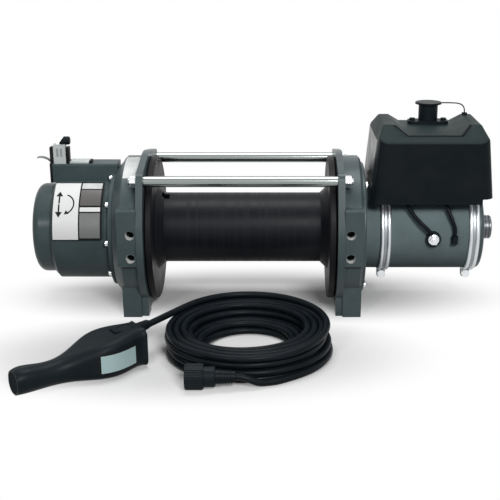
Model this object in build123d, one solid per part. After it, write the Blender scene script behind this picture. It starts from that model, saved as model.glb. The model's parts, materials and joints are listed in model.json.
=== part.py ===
from build123d import *
import math
import os

os.makedirs("parts", exist_ok=True)

# Sizes are in mm. X runs along the drum axis, -Y is the rope side, Z = 0 is the base.

# Cutters run past the faces that they cut by this much
over = 1.0

# Mounting holes
mount_span_x = 254.0
mount_span_y = 114.3
base_hole_r = 5.5
base_hole_deep = 22.0
pad_hole_r = 5.2
pad_hole_deep = 26.0
pad_hole_rise = 15.6
pad_hole_gap = 28.0

# Supports
support_w = 30.0
lip_t = 8.0
lip_r = 94.6
base_sink = 0.6
body_inset = 6.6
body_chamfer = 3.0
pad_inset = 3.6
pad_rise = 45.0
pad_drop = 23.0
pad_root = 42.0
pad_chamfer = 1.5
foot_y = 68.0
foot_h = 39.0
foot_crease = 15.0
foot_undercut = 2.5
foot_lip_in = 4.0
foot_arch_y = 40.0
foot_arch_h = 4.0

# Tie rods
rod_r = 6.35
rod_y = 65.4
rod_rise = 73.0
ear_r = 11.0
rod_end_r = 4.0
nut_flats = 13.0
nut_h = 7.5
nut_room = 1.6
rod_proud = 2.0

# Drum
barrel_r = 42.5
barrel_bore = 36.0
drum_flange_t = 8.0
drum_flange_step = 7.6
drum_flange_chamfer = 1.2
drum_side_gap = 1.0
barrel_flare = 9.0
hub_overlap = 12.0
hub_short = 4.0
hub_r = 30.0
hub_bore = 9.0
bush_wall = 4.0
bush_in = 0.5
bush_out = 2.0
run_fit = 0.05
anchor_w = 9.0
anchor_in = 10.0
anchor_near = 4.0
anchor_far = 15.0

# Gear train, three like stages inside one long ring gear
gear_module = 1.7
sun_teeth = 12
planet_teeth = 24
ring_teeth = 60
stage_planets = 3
tooth_tip = 0.9
tooth_root = 1.25
ring_back = 3.875
pin_r = 5.0
carrier_edge = 8.0
carrier_room = 2.0
carrier_room_end = 1.5
output_in = 3.0
stage_1_w = 13.0
stage_2_w = 16.0
stage_3_w = 20.0
carrier_1_t = 4.5
carrier_2_t = 5.0
carrier_3_t = 8.0
stage_gap = 0.8
shaft_r = 5.5
shaft_room = 0.5
shaft_in = 1.0
coupling_len = 8.0

# Brake on the shaft inside the drum
brake_hub_r = 20.0
brake_len = 44.0
brake_gap = 0.5
shoe_slot = 3.0

# Gear housing
adapter_w = 8.5
adapter_r_in = 84.0
adapter_r_out = 74.0
housing_wall = 4.6
housing_end_t = 6.4
housing_chamfer = 4.0
housing_flange_w = 5.5
housing_flange_lip = 8.6
flange_bolts = 9
flange_bolt_r = 3.3
flange_bolt_h = 4.0
flange_bolt_turn = 21.0
cap_step = 7.6
cap_len = 23.0
cap_round = 9.0
cap_wall = 5.0

# Clutch on the housing ridge
ridge_front = 9.0
ridge_back = 20.0
ridge_top = 81.0
ridge_over = 2.5
ridge_sink = 1.0
ridge_round = 2.5
end_plate_t = 3.0
end_plate_lip = 0.8
clutch_rise = 72.0
clutch_y = 2.0
clutch_r = 4.0
crank_throw = 2.9
crank_pin_r = 1.5
crank_web_r = 5.0
crank_web_t = 2.0
crank_room_x = 6.0
crank_in = 31.0
crank_play = 0.6
journal_in = 0.4
journal_len = 9.0
clutch_turn = 75.0
lock_r = 3.5
lock_bite = 3.0
lock_fit = 0.3
yoke_wall = 1.4
yoke_play = 0.35
yoke_gap = 0.4
yoke_room = 1.0
lever_in = 1.5
lever_gap = 0.5
lever_w = 14.5
lever_sheet = 1.5
lever_hub_wall = 2.5
lever_front = 7.5
lever_back = 2.0
lever_low = 3.0
lever_top = 104.0
lever_room = 8.0
slot_wall = 1.5
grip_r = 5.0
grip_len = 13.0
grip_in = 7.0
grip_rise = 4.0
grip_front = 2.5
grip_round = 2.0
post_gap = 0.3
post_t = 3.5
post_drop = 3.5
blade_t = 1.0
blade_w = 8.0
blade_reach = 16.0
blade_rise = 5.0

# Motor
motor_r = 50.0
motor_wall = 4.0
motor_flange_t = 4.0
motor_flange_r = 80.0
motor_flange_chamfer = 1.0
motor_bolt_y = 38.0
motor_bolt_z = 62.0
motor_bolt_r = 4.5
motor_bolt_h = 3.0
can_len = 137.0
bell_len = 5.0
bell_round = 4.0
boss_r = 14.5
boss_len = 16.0
boss_grooves = 3
boss_chamfer = 1.2
groove_w = 1.6
groove_deep = 0.9
rotor_shaft_r = 7.0
core_r = 31.0
core_len = 58.0
core_slots = 12
core_slot_w = 4.0
core_slot_deep = 8.0
core_in = 36.0
pole_gap = 1.0
pole_half = 34.0
commutator_r = 17.0
commutator_len = 16.0
commutator_gap = 8.0
brush_plate_gap = 2.0
brush_plate_t = 3.0
brush_plate_room = 4.0
poles = 4
pole_turn = 45.0
brush_gap = 0.4
brush_w = 10.0
brush_len = 18.0
bearing_r = 16.0
bearing_w = 9.0
bearing_in = 2.0
bearing_wall = 6.0
end_bearing_less = 3.0
end_bearing_deep = 6.0
end_bearing_wall = 5.0
bell_wall = 2.0
shaft_clear = 2.0
rotor_short = 2.5

# Clamp bands round the motor
band_w = 13.0
band_t = 2.4
band_groove = 1.6
band_rib = 0.35
band_ease = 0.8
band_drop = 0.7
band_flank = 0.6
band_lug_w = 10.0
band_lug_h = 13.0
band_lug_gap = 4.0
band_bolt_r = 3.0
band_bolt_edge = 1.6
band_head_r = 5.0
band_head_h = 4.0
band_bolt_proud = 2.0
band_1_at = 25.0
band_2_at = 130.0

# Terminals and leads on the motor
terminal_at = 81.0
terminal_2_at = 106.0
stud_r = 3.0
stud_proud = 13.0
insulator_r = 9.0
insulator_h = 4.0
lug_r = 6.4
lug_t = 2.0
terminal_nut_r = 5.6
terminal_nut_h = 5.0
lead_r = 2.3
boot_r = 3.9
boot_gap = 2.2
boot_rise = 4.0
boot_len = 9.0

# Control box over the motor
box_bottom = 44.5
box_fold = 117.0
box_top = 134.0
box_half_y = 62.0
box_fold_half_y = 61.0
box_top_half_y = 36.0
box_side_gap = 1.0
box_len = 145.0
box_fold_in = 7.0
box_top_in = 15.5
box_wall = 3.0
box_motor_gap = 3.5
box_corner = 13.0
box_shoulder = 4.0
box_cut_w = 14.0
box_cut_h = 6.0
channel_floor = 123.5
channel_x0 = 42.5
channel_x1 = 105.0
channel_over = 20.0
channel_side_l = 15.0
channel_side_r = 12.0
tray_t = 3.0
tray_rise = 56.0
saddle_y = 22.0
saddle_low = 40.0
saddle_share = 0.4
contactor_r = 17.0
contactor_h = 48.0
contactor_pitch_x = 56.0
contactor_pitch_y = 46.0
contactor_chamfer = 1.5

# Socket for the remote, on the box
socket_at = 76.0
socket_y = 30.0
socket_r = 11.6
socket_wall = 3.0
socket_rise = 147.5
socket_flange_x = 49.0
socket_flange_y = 22.0
socket_flange_t = 4.0
socket_floor = 4.0
socket_screw_r = 3.4
socket_screw_h = 2.6
cap_disc_r = 16.0
cap_disc_t = 2.2
cap_skirt = 7.0
cap_play = 0.4
cap_edge = 0.8
tether_r = 0.75
tether_screw_at = 120.5

# Remote, lying on the floor in front
remote_heading = 36.0
remote_end_x = -221.0
remote_end_y = -278.0
remote_wall = 2.5
remote_split_0 = 13.0
remote_split_1 = 20.5
rocker_at = 122.0
rocker_len = 21.0
rocker_w = 13.0
rocker_h = 7.0
rocker_proud = 0.6
rocker_play = 0.7
rocker_dip = 1.4
rocker_pin_r = 1.2
rocker_pin_short = 0.3
cheek_t = 2.4
cheek_half = 5.0
cheek_low = 4.0
relief_len = 18.0
relief_r = 5.8
relief_tip_r = 4.4
relief_root_deep = 14.0

# Cord of the remote: one coil, a short straight lead and a tail to the plug
cord_r = 3.7
cord_gap = 0.6
coil_x = 9.5
coil_y = -166.5
coil_r_out = 92.0
coil_start = -55.0
coil_end = 147.0
coil_whole_turns = 18
coil_runs = (5.75, 5.55, 3.45)
coil_top_turns = 0.55
coil_ease = 0.25
lead_len = 59.9
tail_run = 16.0
floor_gap = 0.2
plug_x = 0.0
plug_y = -264.0
plug_r = 13.0
plug_chamfer = 0.5
plug_back_chamfer = 1.0
plug_fit = 0.4
plug_len = 31.0
plug_collar = 19.0
plug_back_r = 10.6
plug_boot_r = 7.6
plug_boot_len = 20.0
plug_boot_taper = 1.4
plug_bore_deep = 12.0
plug_pin_r = 1.4
plug_pin_back = 3.0
plug_pins = 5
plug_pin_ring = 0.55

# Worked out from the above
axis_h = lip_r - base_sink
lip_in = (mount_span_x - support_w) / 2
lip_out = lip_in + lip_t
body_out = lip_in + support_w
body_r = lip_r - body_inset
pad_y = lip_r - pad_inset
drum_flange_r = lip_r - drum_flange_step
flange_out = lip_in - drum_side_gap
flange_in = flange_out - drum_flange_t
bush_r = hub_r + bush_wall
sun_pitch = gear_module * sun_teeth / 2
planet_pitch = gear_module * planet_teeth / 2
ring_pitch = gear_module * ring_teeth / 2
planet_orbit = sun_pitch + planet_pitch
ring_r = ring_pitch + gear_module * tooth_root + ring_back
carrier_r = planet_orbit + carrier_edge
housing_r = ring_r + housing_wall
housing_flange_r = housing_r + housing_flange_lip
bolt_circle = housing_r + housing_flange_lip / 2
gear_face = -(body_out + adapter_w)
housing_step = gear_face - housing_flange_w

# Stages are stacked from the drum outwards, towards -X
carrier_3_x1 = gear_face + output_in
carrier_3_x0 = carrier_3_x1 - carrier_3_t
stage_3_x1 = carrier_3_x0 - stage_gap
stage_3_x0 = stage_3_x1 - stage_3_w
carrier_2_x1 = stage_3_x0 - stage_gap
carrier_2_x0 = carrier_2_x1 - carrier_2_t
stage_2_x1 = carrier_2_x0 - stage_gap
stage_2_x0 = stage_2_x1 - stage_2_w
carrier_1_x1 = stage_2_x0 - stage_gap
carrier_1_x0 = carrier_1_x1 - carrier_1_t
stage_1_x1 = carrier_1_x0 - stage_gap
stage_1_x0 = stage_1_x1 - stage_1_w
ring_x1 = gear_face
ring_x0 = stage_1_x0 - stage_gap
housing_x0 = ring_x0 - stage_gap - housing_end_t
cap_r = housing_r - cap_step
cap_x0 = housing_x0 - cap_len
ridge_x0 = housing_x0 - ridge_over
crank_x = housing_x0 + crank_in

motor_face = body_out + motor_flange_t
can_x1 = motor_face + can_len
bell_x1 = can_x1 + bell_len
boss_x1 = bell_x1 + boss_len
band_1_x = motor_face + band_1_at
band_2_x = motor_face + band_2_at
terminal_x = motor_face + terminal_at
terminal_2_x = motor_face + terminal_2_at
box_x0 = motor_face + motor_bolt_h + box_side_gap
socket_x = box_x0 + socket_at
tether_screw_x = box_x0 + tether_screw_at
shaft_end = body_out + coupling_len
core_x0 = motor_face + core_in
commutator_x0 = core_x0 + core_len + commutator_gap


def bar_x(radius, x0, x1, y=0.0, z=axis_h):
    # round bar along X
    return Pos((x0 + x1) / 2, y, z) * Rot(0, 90, 0) * Cylinder(radius, abs(x1 - x0))


def bar_y(radius, y0, y1, x, z):
    return Pos(x, (y0 + y1) / 2, z) * Rot(90, 0, 0) * Cylinder(radius, abs(y1 - y0))


def bar_z(radius, z0, z1, x, y):
    return Pos(x, y, (z0 + z1) / 2) * Cylinder(radius, abs(z1 - z0))


def block(x0, x1, y0, y1, z0, z1):
    centre = Pos((x0 + x1) / 2, (y0 + y1) / 2, (z0 + z1) / 2)
    return centre * Box(abs(x1 - x0), abs(y1 - y0), abs(z1 - z0))


def turned(points):
    # solid of revolution about the drum axis, from (x, radius) points
    profile = make_face(Polyline(*[(x, 0, axis_h + r) for x, r in points], close=True))
    return revolve(profile, Axis((0, 0, axis_h), (1, 0, 0)))


def across(x):
    # plane square to the drum axis, with Y to the right and Z up from the axis
    return Plane(origin=(x, 0, axis_h), x_dir=(0, 1, 0), z_dir=(1, 0, 0))


def hex_x(flats, x0, x1, y, z):
    outline = RegularPolygon(flats / 2, 6, major_radius=False)
    place = Plane(origin=(x0, y, z), x_dir=(0, 1, 0), z_dir=(1, 0, 0))
    return extrude(place * outline, x1 - x0)


def save(name, *solids):
    shape = solids[0] if len(solids) == 1 else Compound(children=list(solids))
    export_step(shape, f"parts/{name}.step")


# Supports: a lip plate with ears for the rods, a round body, a bolt pad front and rear, and a foot


def foot(inset):
    # seen along X: upright above a crease, and drawn in below it
    low = -axis_h
    half = foot_y - inset
    base = half - foot_undercut
    return make_face(
        Polyline(
            (-base, low),
            (-half, low + foot_crease),
            (-half, low + foot_h),
            (half, low + foot_h),
            (half, low + foot_crease),
            (base, low),
            close=True,
        )
    )


def support():
    ears = Pos(rod_y, rod_rise) * Circle(ear_r) + Pos(-rod_y, rod_rise) * Circle(ear_r)
    outline = make_hull((Circle(lip_r) + ears).edges())
    solid = extrude(across(lip_in) * (outline + foot(foot_lip_in)), lip_t)
    solid += extrude(across(lip_out) * foot(0.0), support_w - lip_t)
    solid += turned(
        [
            (lip_in, 0),
            (lip_in, body_r),
            (body_out - body_chamfer, body_r),
            (body_out, body_r - body_chamfer),
            (body_out, 0),
        ]
    )
    pad_z0 = axis_h - pad_drop
    pad_z1 = axis_h + pad_rise
    for side in (-1, 1):
        pad = block(lip_out, body_out, side * pad_root, side * pad_y, pad_z0, pad_z1)
        solid += chamfer(pad.edges().filter_by(Axis.X), pad_chamfer)
        rod_hole = bar_x(rod_end_r, lip_in - over, lip_out + over, side * rod_y, axis_h + rod_rise)
        pocket_r = nut_flats / math.sqrt(3) + nut_room
        solid -= rod_hole
        solid -= bar_x(pocket_r, lip_out, body_out + over, side * rod_y, axis_h + rod_rise)
        hole_x = mount_span_x / 2
        for rise in (pad_hole_rise, pad_hole_rise - pad_hole_gap):
            inner = side * (pad_y - pad_hole_deep)
            solid -= bar_y(pad_hole_r, inner, side * (pad_y + over), hole_x, axis_h + rise)
        solid -= bar_z(base_hole_r, -over, base_hole_deep, hole_x, side * mount_span_y / 2)
    solid -= block(0, 2 * body_out, -2 * lip_r, 2 * lip_r, -lip_r, 0)
    solid -= block(0, 2 * body_out, -foot_arch_y, foot_arch_y, -over, foot_arch_h)
    solid -= bar_x(bush_r, lip_in - over, body_out + over)
    return solid


motor_side = support()
gear_side = mirror(motor_side, Plane.YZ)
gear_side += turned(
    [
        (-body_out, bush_r),
        (-body_out, adapter_r_in),
        (gear_face, adapter_r_out),
        (gear_face, bush_r),
    ]
)
gear_side -= bar_x(carrier_r + carrier_room, gear_face - over, carrier_3_x1 + carrier_room_end)
save("motor_side_support", motor_side)
save("gear_side_support", gear_side)

nut_x1 = lip_out + nut_h
rods = []
nuts = []
for side in (-1, 1):
    rod_end = nut_x1 + rod_proud
    rod = bar_x(rod_r, -lip_in, lip_in, side * rod_y, axis_h + rod_rise)
    rods.append(rod + bar_x(rod_end_r, -rod_end, rod_end, side * rod_y, axis_h + rod_rise))
    for x0 in (lip_out, -nut_x1):
        nut = hex_x(nut_flats, x0, x0 + nut_h, side * rod_y, axis_h + rod_rise)
        hole = bar_x(rod_end_r, x0 - over, x0 + nut_h + over, side * rod_y, axis_h + rod_rise)
        nuts.append(nut - hole)
save("tie_rods", *rods)
save("tie_rod_nuts", *nuts)

# Drum: barrel flared at both ends, two flanges, two hubs running in bushes

barrel = turned(
    [
        (-flange_in, barrel_bore),
        (-flange_in, barrel_r + barrel_flare),
        (-flange_in + barrel_flare, barrel_r),
        (flange_in - barrel_flare, barrel_r),
        (flange_in, barrel_r + barrel_flare),
        (flange_in, barrel_bore),
    ]
)
anchor_x0 = -flange_in + anchor_in - anchor_w / 2
anchor_top = axis_h + drum_flange_r
barrel -= block(anchor_x0, anchor_x0 + anchor_w, -anchor_far, -anchor_near, axis_h, anchor_top)
save("drum_barrel", barrel)
hub_x0 = flange_in - hub_overlap
hub_x1 = body_out - hub_short


def drum_flange(x0):
    disc = bar_x(drum_flange_r, x0, x0 + drum_flange_t)
    return chamfer(disc.edges().filter_by(GeomType.CIRCLE), drum_flange_chamfer)


gear_flange = drum_flange(-flange_out) - bar_x(hub_r, -flange_out - over, over - flange_in)
save("drum_flange_gear", gear_flange)
motor_flange_hub = drum_flange(flange_in) + bar_x(hub_r, hub_x0, hub_x1)
save("drum_flange_motor", motor_flange_hub - bar_x(hub_bore, hub_x0 - over, hub_x1 + over))
bush_x0 = lip_in + bush_in
bush_x1 = body_out - bush_out
bushes = []
for x0, x1 in ((bush_x0, bush_x1), (-bush_x1, -bush_x0)):
    bushes.append(bar_x(bush_r, x0, x1) - bar_x(hub_r + run_fit, x0 - over, x1 + over))
save("drum_bushes", *bushes)


# Gears: flat-flanked teeth with backlash, drawn about their own axis


def toothed(teeth, tip, root, tip_share, root_share, turn):
    pitch_half = math.pi / (2 * teeth)
    corners = (
        (root, -root_share),
        (tip, -tip_share),
        (tip, tip_share),
        (root, root_share),
    )
    points = []
    for i in range(teeth):
        middle = turn + 2 * math.pi * i / teeth
        for radius, share in corners:
            angle = middle + share * pitch_half
            points.append((radius * math.cos(angle), radius * math.sin(angle)))
    return make_face(Polyline(*points, close=True))


up = math.pi / 2
addendum = gear_module * tooth_tip
dedendum = gear_module * tooth_root
sun_face = toothed(sun_teeth, sun_pitch + addendum, sun_pitch - dedendum, 0.42, 1.45, up)
planet_turn = up + math.pi / planet_teeth
planet_face = toothed(
    planet_teeth, planet_pitch + addendum, planet_pitch - dedendum, 0.45, 1.40, planet_turn
)
ring_face = toothed(ring_teeth, ring_pitch - addendum, ring_pitch + dedendum, 0.45, 1.40, up)


def sun(x0, x1, bore):
    return extrude(across(x0) * (sun_face - Circle(bore)), x1 - x0)


def orbit(k):
    # place of planet k about the drum axis, with the first one on top
    angle = up + 2 * math.pi * k / stage_planets
    return angle, planet_orbit * math.cos(angle), planet_orbit * math.sin(angle)


def planet(k, x0, x1):
    angle, y, z = orbit(k)
    face = Rot(0, 0, math.degrees(angle - up)) * (planet_face - Circle(pin_r + run_fit))
    return extrude(across(x0) * Pos(y, z) * face, x1 - x0)


def carrier(planet_x0, x0, x1, bore):
    # plate with its three planet pins
    plate = bar_x(carrier_r, x0, x1)
    for k in range(stage_planets):
        angle, y, z = orbit(k)
        plate += bar_x(pin_r, planet_x0 - stage_gap / 2, x1, y, axis_h + z)
    return plate - bar_x(bore, x0 - over, x1 + over)


sun_bore = shaft_r + shaft_room
stages = ((1, stage_1_x0, stage_1_x1), (2, stage_2_x0, stage_2_x1), (3, stage_3_x0, stage_3_x1))
for stage, x0, x1 in stages:
    for k in range(stage_planets):
        save(f"planet_{stage}{'abc'[k]}", planet(k, x0, x1))
first = carrier(stage_1_x0, carrier_1_x0, carrier_1_x1, sun_bore)
save("carrier_1", first + sun(carrier_1_x1, stage_2_x1, sun_bore))
second = carrier(stage_2_x0, carrier_2_x0, carrier_2_x1, sun_bore)
save("carrier_2", second + sun(carrier_2_x1, stage_3_x1, sun_bore))
output = carrier(stage_3_x0, carrier_3_x0, carrier_3_x1, sun_bore)
output_hub = bar_x(hub_r, carrier_3_x1, -hub_x0)
output_hub -= bar_x(hub_bore, carrier_3_x1 - over, over - hub_x0)
save("carrier_3", output + output_hub)

# Drive shaft through the drum, with the brake on it

end_bush_r = 2 * shaft_r
shaft_x0 = housing_x0 + shaft_in
drive_shaft = bar_x(shaft_r, shaft_x0, shaft_end) + sun(stage_1_x0, stage_1_x1, shaft_r / 2)
save("drive_shaft", drive_shaft)
end_bush_x1 = housing_x0 + housing_end_t
end_bush = bar_x(end_bush_r, housing_x0, end_bush_x1)
end_bush -= bar_x(shaft_r + run_fit, housing_x0 - over, end_bush_x1 + over)
brake_hub = bar_x(brake_hub_r, -brake_len / 2, brake_len / 2)
brake_hub -= bar_x(shaft_r, -brake_len, brake_len)
shoe_ring = bar_x(barrel_bore - brake_gap, -brake_len / 2, brake_len / 2)
shoe_ring -= bar_x(brake_hub_r, -brake_len, brake_len)
shoe_ring -= block(-brake_len, brake_len, -lip_r, lip_r, axis_h - shoe_slot, axis_h + shoe_slot)
save("shaft_brake", brake_hub, *shoe_ring.solids())

# Gear housing with its bolt flange and the clutch ridge on top

housing = turned(
    [
        (gear_face, ring_r),
        (gear_face, housing_flange_r),
        (housing_step, housing_flange_r),
        (housing_step, housing_r),
        (housing_x0 + housing_chamfer, housing_r),
        (housing_x0, housing_r - housing_chamfer),
        (housing_x0, end_bush_r),
        (end_bush_x1, end_bush_r),
        (end_bush_x1, ring_r),
    ]
)
ridge_z0 = axis_h + ring_r + ridge_sink
ridge_z1 = axis_h + ridge_top
ridge = block(ridge_x0, gear_face, -ridge_front, ridge_back, ridge_z0, ridge_z1)
ridge = fillet(ridge.edges().filter_by(Axis.X).group_by(Axis.Z)[-1], ridge_round)
housing += ridge

clutch_z = axis_h + clutch_rise
lever_x0 = ridge_x0 + lever_in
lever_x1 = lever_x0 + lever_w
slot_x0 = lever_x0 - lever_gap
slot_x1 = lever_x1 + lever_gap
slot_y0 = -ridge_front + slot_wall
slot_z0 = clutch_z - lever_room
housing -= block(slot_x0, slot_x1, slot_y0, 2 * ridge_back, slot_z0, ridge_z1 + over)

half_turn = math.radians(clutch_turn / 2)
throw_y = clutch_y - crank_throw * math.cos(half_turn)
throw_z = clutch_z - crank_throw * math.sin(half_turn)
crank_half = crank_room_x / 2
web_end = crank_half + crank_web_t
journal_x0 = ridge_x0 + journal_in
journal_x1 = crank_x + web_end + journal_len
window_r = crank_pin_r + yoke_play
window_y0 = clutch_y - crank_throw - window_r
window_y1 = throw_y + window_r
window_z0 = throw_z - window_r
window_z1 = throw_z + window_r
yoke_y0 = window_y0 - yoke_wall
yoke_y1 = window_y1 + yoke_wall
lock_y = (yoke_y0 + yoke_y1) / 2
lift = 2 * crank_throw * math.sin(half_turn)
print("lock pin lift per radian", lift / math.radians(clutch_turn))

room_half = web_end + crank_play
room_y0 = min(yoke_y0, clutch_y - crank_web_r) - crank_play
room_y1 = clutch_y + crank_web_r + crank_play
room_z0 = window_z0 - yoke_wall - yoke_room
room_z1 = window_z1 + yoke_wall + lift + yoke_room
housing -= block(crank_x - room_half, crank_x + room_half, room_y0, room_y1, room_z0, room_z1)
housing -= bar_x(clutch_r + run_fit, ridge_x0 - over, journal_x1 + crank_play, clutch_y, clutch_z)
housing -= bar_z(lock_r + run_fit, axis_h + ring_r - over, room_z0 + over, crank_x, lock_y)
save("gear_housing", housing)

ring_gear = extrude(across(ring_x0) * (Circle(ring_r) - ring_face), ring_x1 - ring_x0)
lock_z0 = axis_h + ring_r - lock_bite
lock_hole = bar_z(lock_r + lock_fit, lock_z0 - lock_fit, axis_h + 2 * ring_r, crank_x, lock_y)
save("ring_gear", ring_gear - lock_hole)

crank = bar_x(clutch_r, journal_x0, crank_x - web_end, clutch_y, clutch_z)
crank += bar_x(clutch_r, crank_x + web_end, journal_x1, clutch_y, clutch_z)
for x0 in (crank_x - web_end, crank_x + crank_half):
    crank += bar_x(crank_web_r, x0, x0 + crank_web_t, clutch_y, clutch_z)
crank += bar_x(crank_pin_r, crank_x - web_end, crank_x + web_end, throw_y, throw_z)
save("clutch_shaft", crank)

yoke_x = crank_half - yoke_gap
yoke_z0 = window_z0 - yoke_wall
yoke = block(crank_x - yoke_x, crank_x + yoke_x, yoke_y0, yoke_y1, yoke_z0, window_z1 + yoke_wall)
yoke -= block(crank_x - web_end, crank_x + web_end, window_y0, window_y1, window_z0, window_z1)
neck_z0 = yoke_z0 - lift - crank_play
neck = bar_z(lock_r, neck_z0, yoke_z0, crank_x, lock_y)
neck &= block(crank_x - yoke_x, crank_x + yoke_x, yoke_y0, yoke_y1, neck_z0, yoke_z0)
save("lock_pin", yoke + neck + bar_z(lock_r, lock_z0, neck_z0, crank_x, lock_y))

lever_hub_r = clutch_r + lever_hub_wall
lever_y0 = clutch_y - lever_front
lever_y1 = clutch_y + lever_back
lever_z0 = clutch_z - lever_low
lever_z1 = axis_h + lever_top
lever = bar_x(lever_hub_r, lever_x0, lever_x1, clutch_y, clutch_z)
lever += block(lever_x0, lever_x1, lever_y0, lever_y0 + lever_sheet, lever_z0, lever_z1)
for x0 in (lever_x0, lever_x1 - lever_sheet):
    lever += block(x0, x0 + lever_sheet, lever_y0, lever_y1, clutch_z, lever_z1)
lever -= bar_x(clutch_r, lever_x0 - over, lever_x1 + over, clutch_y, clutch_z)
save("clutch_lever", lever)
grip_x0 = lever_x0 + grip_in
grip = bar_x(grip_r, grip_x0, grip_x0 + grip_len, clutch_y - grip_front, lever_z1 + grip_rise)
grip = fillet(grip.edges().filter_by(GeomType.CIRCLE), grip_round)
save("lever_grip", grip - lever)

plate_x0 = ridge_x0 - end_plate_t
plate_top = ridge_z1 + end_plate_lip
plate_y0 = -ridge_front - end_plate_lip
plate_y1 = ridge_back + end_plate_lip
end_plate = block(plate_x0, ridge_x0, plate_y0, plate_y1, ridge_z0, plate_top)
blade_x0 = plate_x0 - blade_reach
blade_mid = plate_x0 - blade_reach / 2
blade_z = plate_top + blade_rise
blade_under = ThreePointArc((plate_x0, 0, plate_top), (blade_mid, 0, blade_z), (blade_x0, 0, blade_z))
blade_over = ThreePointArc(
    (blade_x0, 0, blade_z + blade_t),
    (blade_mid, 0, blade_z + blade_t),
    (plate_x0, 0, plate_top + blade_t),
)
blade_rest = Polyline(
    (plate_x0, 0, plate_top + blade_t),
    (ridge_x0, 0, plate_top + blade_t),
    (ridge_x0, 0, plate_top),
    (plate_x0, 0, plate_top),
)
blade_tip = Line((blade_x0, 0, blade_z), (blade_x0, 0, blade_z + blade_t))
blade_face = make_face(
    [blade_under.edge(), blade_tip.edge(), blade_over.edge(), *blade_rest.edges()]
)
blade = extrude(blade_face, blade_w / 2, dir=(0, 1, 0), both=True)
post_z1 = lever_z1 - post_drop
end_plate += block(plate_x0, ridge_x0, lever_y0, lever_y1, ridge_z1, post_z1)
post_x0 = slot_x1 + post_gap
post = block(post_x0, post_x0 + post_t, lever_y0, lever_y1, ridge_z1, post_z1)
save("clutch_end_plate", end_plate + blade, post)

bolts = []
for i in range(flange_bolts):
    angle = math.radians(flange_bolt_turn + 360 / flange_bolts * i)
    y = bolt_circle * math.cos(angle)
    z = axis_h + bolt_circle * math.sin(angle)
    bolts.append(bar_x(flange_bolt_r, housing_step - flange_bolt_h, housing_step, y, z))

cap = bar_x(cap_r, cap_x0, housing_x0)
cap = fillet(cap.edges().filter_by(GeomType.CIRCLE).sort_by(Axis.X)[0], cap_round)
cap -= bar_x(cap_r - cap_wall, cap_x0 + cap_wall, housing_x0 + over)
save("gear_end_cap", cap)

# Motor: flange, case, end bell with its boss, and the rotor inside

bearing_x0 = body_out + bearing_in
bearing_x1 = bearing_x0 + bearing_w
flange_boss_r = bearing_r + bearing_wall
motor_flange = bar_x(motor_flange_r, body_out, motor_face)
flange_rim = motor_flange.edges().filter_by(GeomType.CIRCLE).sort_by(Axis.X)[-1]
motor_flange = chamfer(flange_rim, motor_flange_chamfer)
motor_flange += bar_x(flange_boss_r, body_out, bearing_x1)
motor_flange -= bar_x(rotor_shaft_r + shaft_clear, body_out - over, bearing_x0 + over)
motor_flange -= bar_x(bearing_r, bearing_x0, bearing_x1 + over)
save("motor_flange", motor_flange)
for y in (-motor_bolt_y, motor_bolt_y):
    for z in (axis_h - motor_bolt_z, axis_h + motor_bolt_z):
        bolts.append(bar_x(motor_bolt_r, motor_face, motor_face + motor_bolt_h, y, z))
save("flange_bolts", *bolts)

case_bore = motor_r - motor_wall
case = bar_x(motor_r, motor_face, can_x1) - bar_x(case_bore, motor_face - over, can_x1 + over)
save("motor_case", case)
end_bearing_r = bearing_r - end_bearing_less
end_bearing_x0 = can_x1 - end_bearing_deep
bell = bar_x(motor_r, can_x1, bell_x1)
bell = fillet(bell.edges().filter_by(GeomType.CIRCLE).sort_by(Axis.X)[-1], bell_round)
bell += bar_x(end_bearing_r + end_bearing_wall, end_bearing_x0, can_x1)
bell -= bar_x(end_bearing_r, end_bearing_x0 - over, bell_x1 - bell_wall)
boss = bar_x(boss_r, bell_x1, boss_x1)
boss = chamfer(boss.edges().filter_by(GeomType.CIRCLE).sort_by(Axis.X)[-1], boss_chamfer)
groove_pitch = boss_len / (boss_grooves + 1)
for i in range(boss_grooves):
    x0 = bell_x1 + groove_pitch * (i + 1) - groove_w / 2
    x1 = x0 + groove_w
    boss -= bar_x(boss_r + over, x0, x1) - bar_x(boss_r - groove_deep, x0 - over, x1 + over)
save("motor_end_bell", bell + boss)

rotor_x0 = body_out - bearing_in
rotor_x1 = bell_x1 - rotor_short
rotor_shaft = bar_x(rotor_shaft_r, rotor_x0, rotor_x1) - bar_x(shaft_r, rotor_x0 - over, shaft_end)
core_x1 = core_x0 + core_len
core_face = Circle(core_r) - Circle(rotor_shaft_r)
for i in range(core_slots):
    slot = Pos(core_r, 0) * Rectangle(2 * core_slot_deep, core_slot_w)
    core_face -= Rot(0, 0, 360 / core_slots * i) * slot
save("armature", rotor_shaft, extrude(across(core_x0) * core_face, core_len))
commutator_x1 = commutator_x0 + commutator_len
commutator = bar_x(commutator_r, commutator_x0, commutator_x1)
save("commutator", commutator - bar_x(rotor_shaft_r, commutator_x0 - over, commutator_x1 + over))
shoes = []
shoe = bar_x(case_bore, core_x0, core_x1)
shoe -= bar_x(core_r + pole_gap, core_x0 - over, core_x1 + over)
wedge_y = 2 * case_bore * math.sin(math.radians(pole_half))
wedge_z = 2 * case_bore * math.cos(math.radians(pole_half))
for i in range(poles):
    wedge = make_face(Polyline((0, 0), (wedge_y, wedge_z), (-wedge_y, wedge_z), close=True))
    turn = pole_turn + 360 / poles * i
    sector = extrude(across(core_x0) * Rot(0, 0, turn) * wedge, core_len)
    shoes.append(shoe & sector)
save("pole_shoes", *[s.solid() for s in shoes])
brush_x0 = commutator_x0 + (commutator_len - brush_w) / 2
brush_root = commutator_r + brush_gap
brushes = []
for i in range(poles):
    brush = Box(brush_w, brush_w, brush_len)
    brush = Pos(brush_x0 + brush_w / 2, 0, brush_root + brush_len / 2) * brush
    brushes.append(Pos(0, 0, axis_h) * Rot(pole_turn + 360 / poles * i, 0, 0) * brush)
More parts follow.
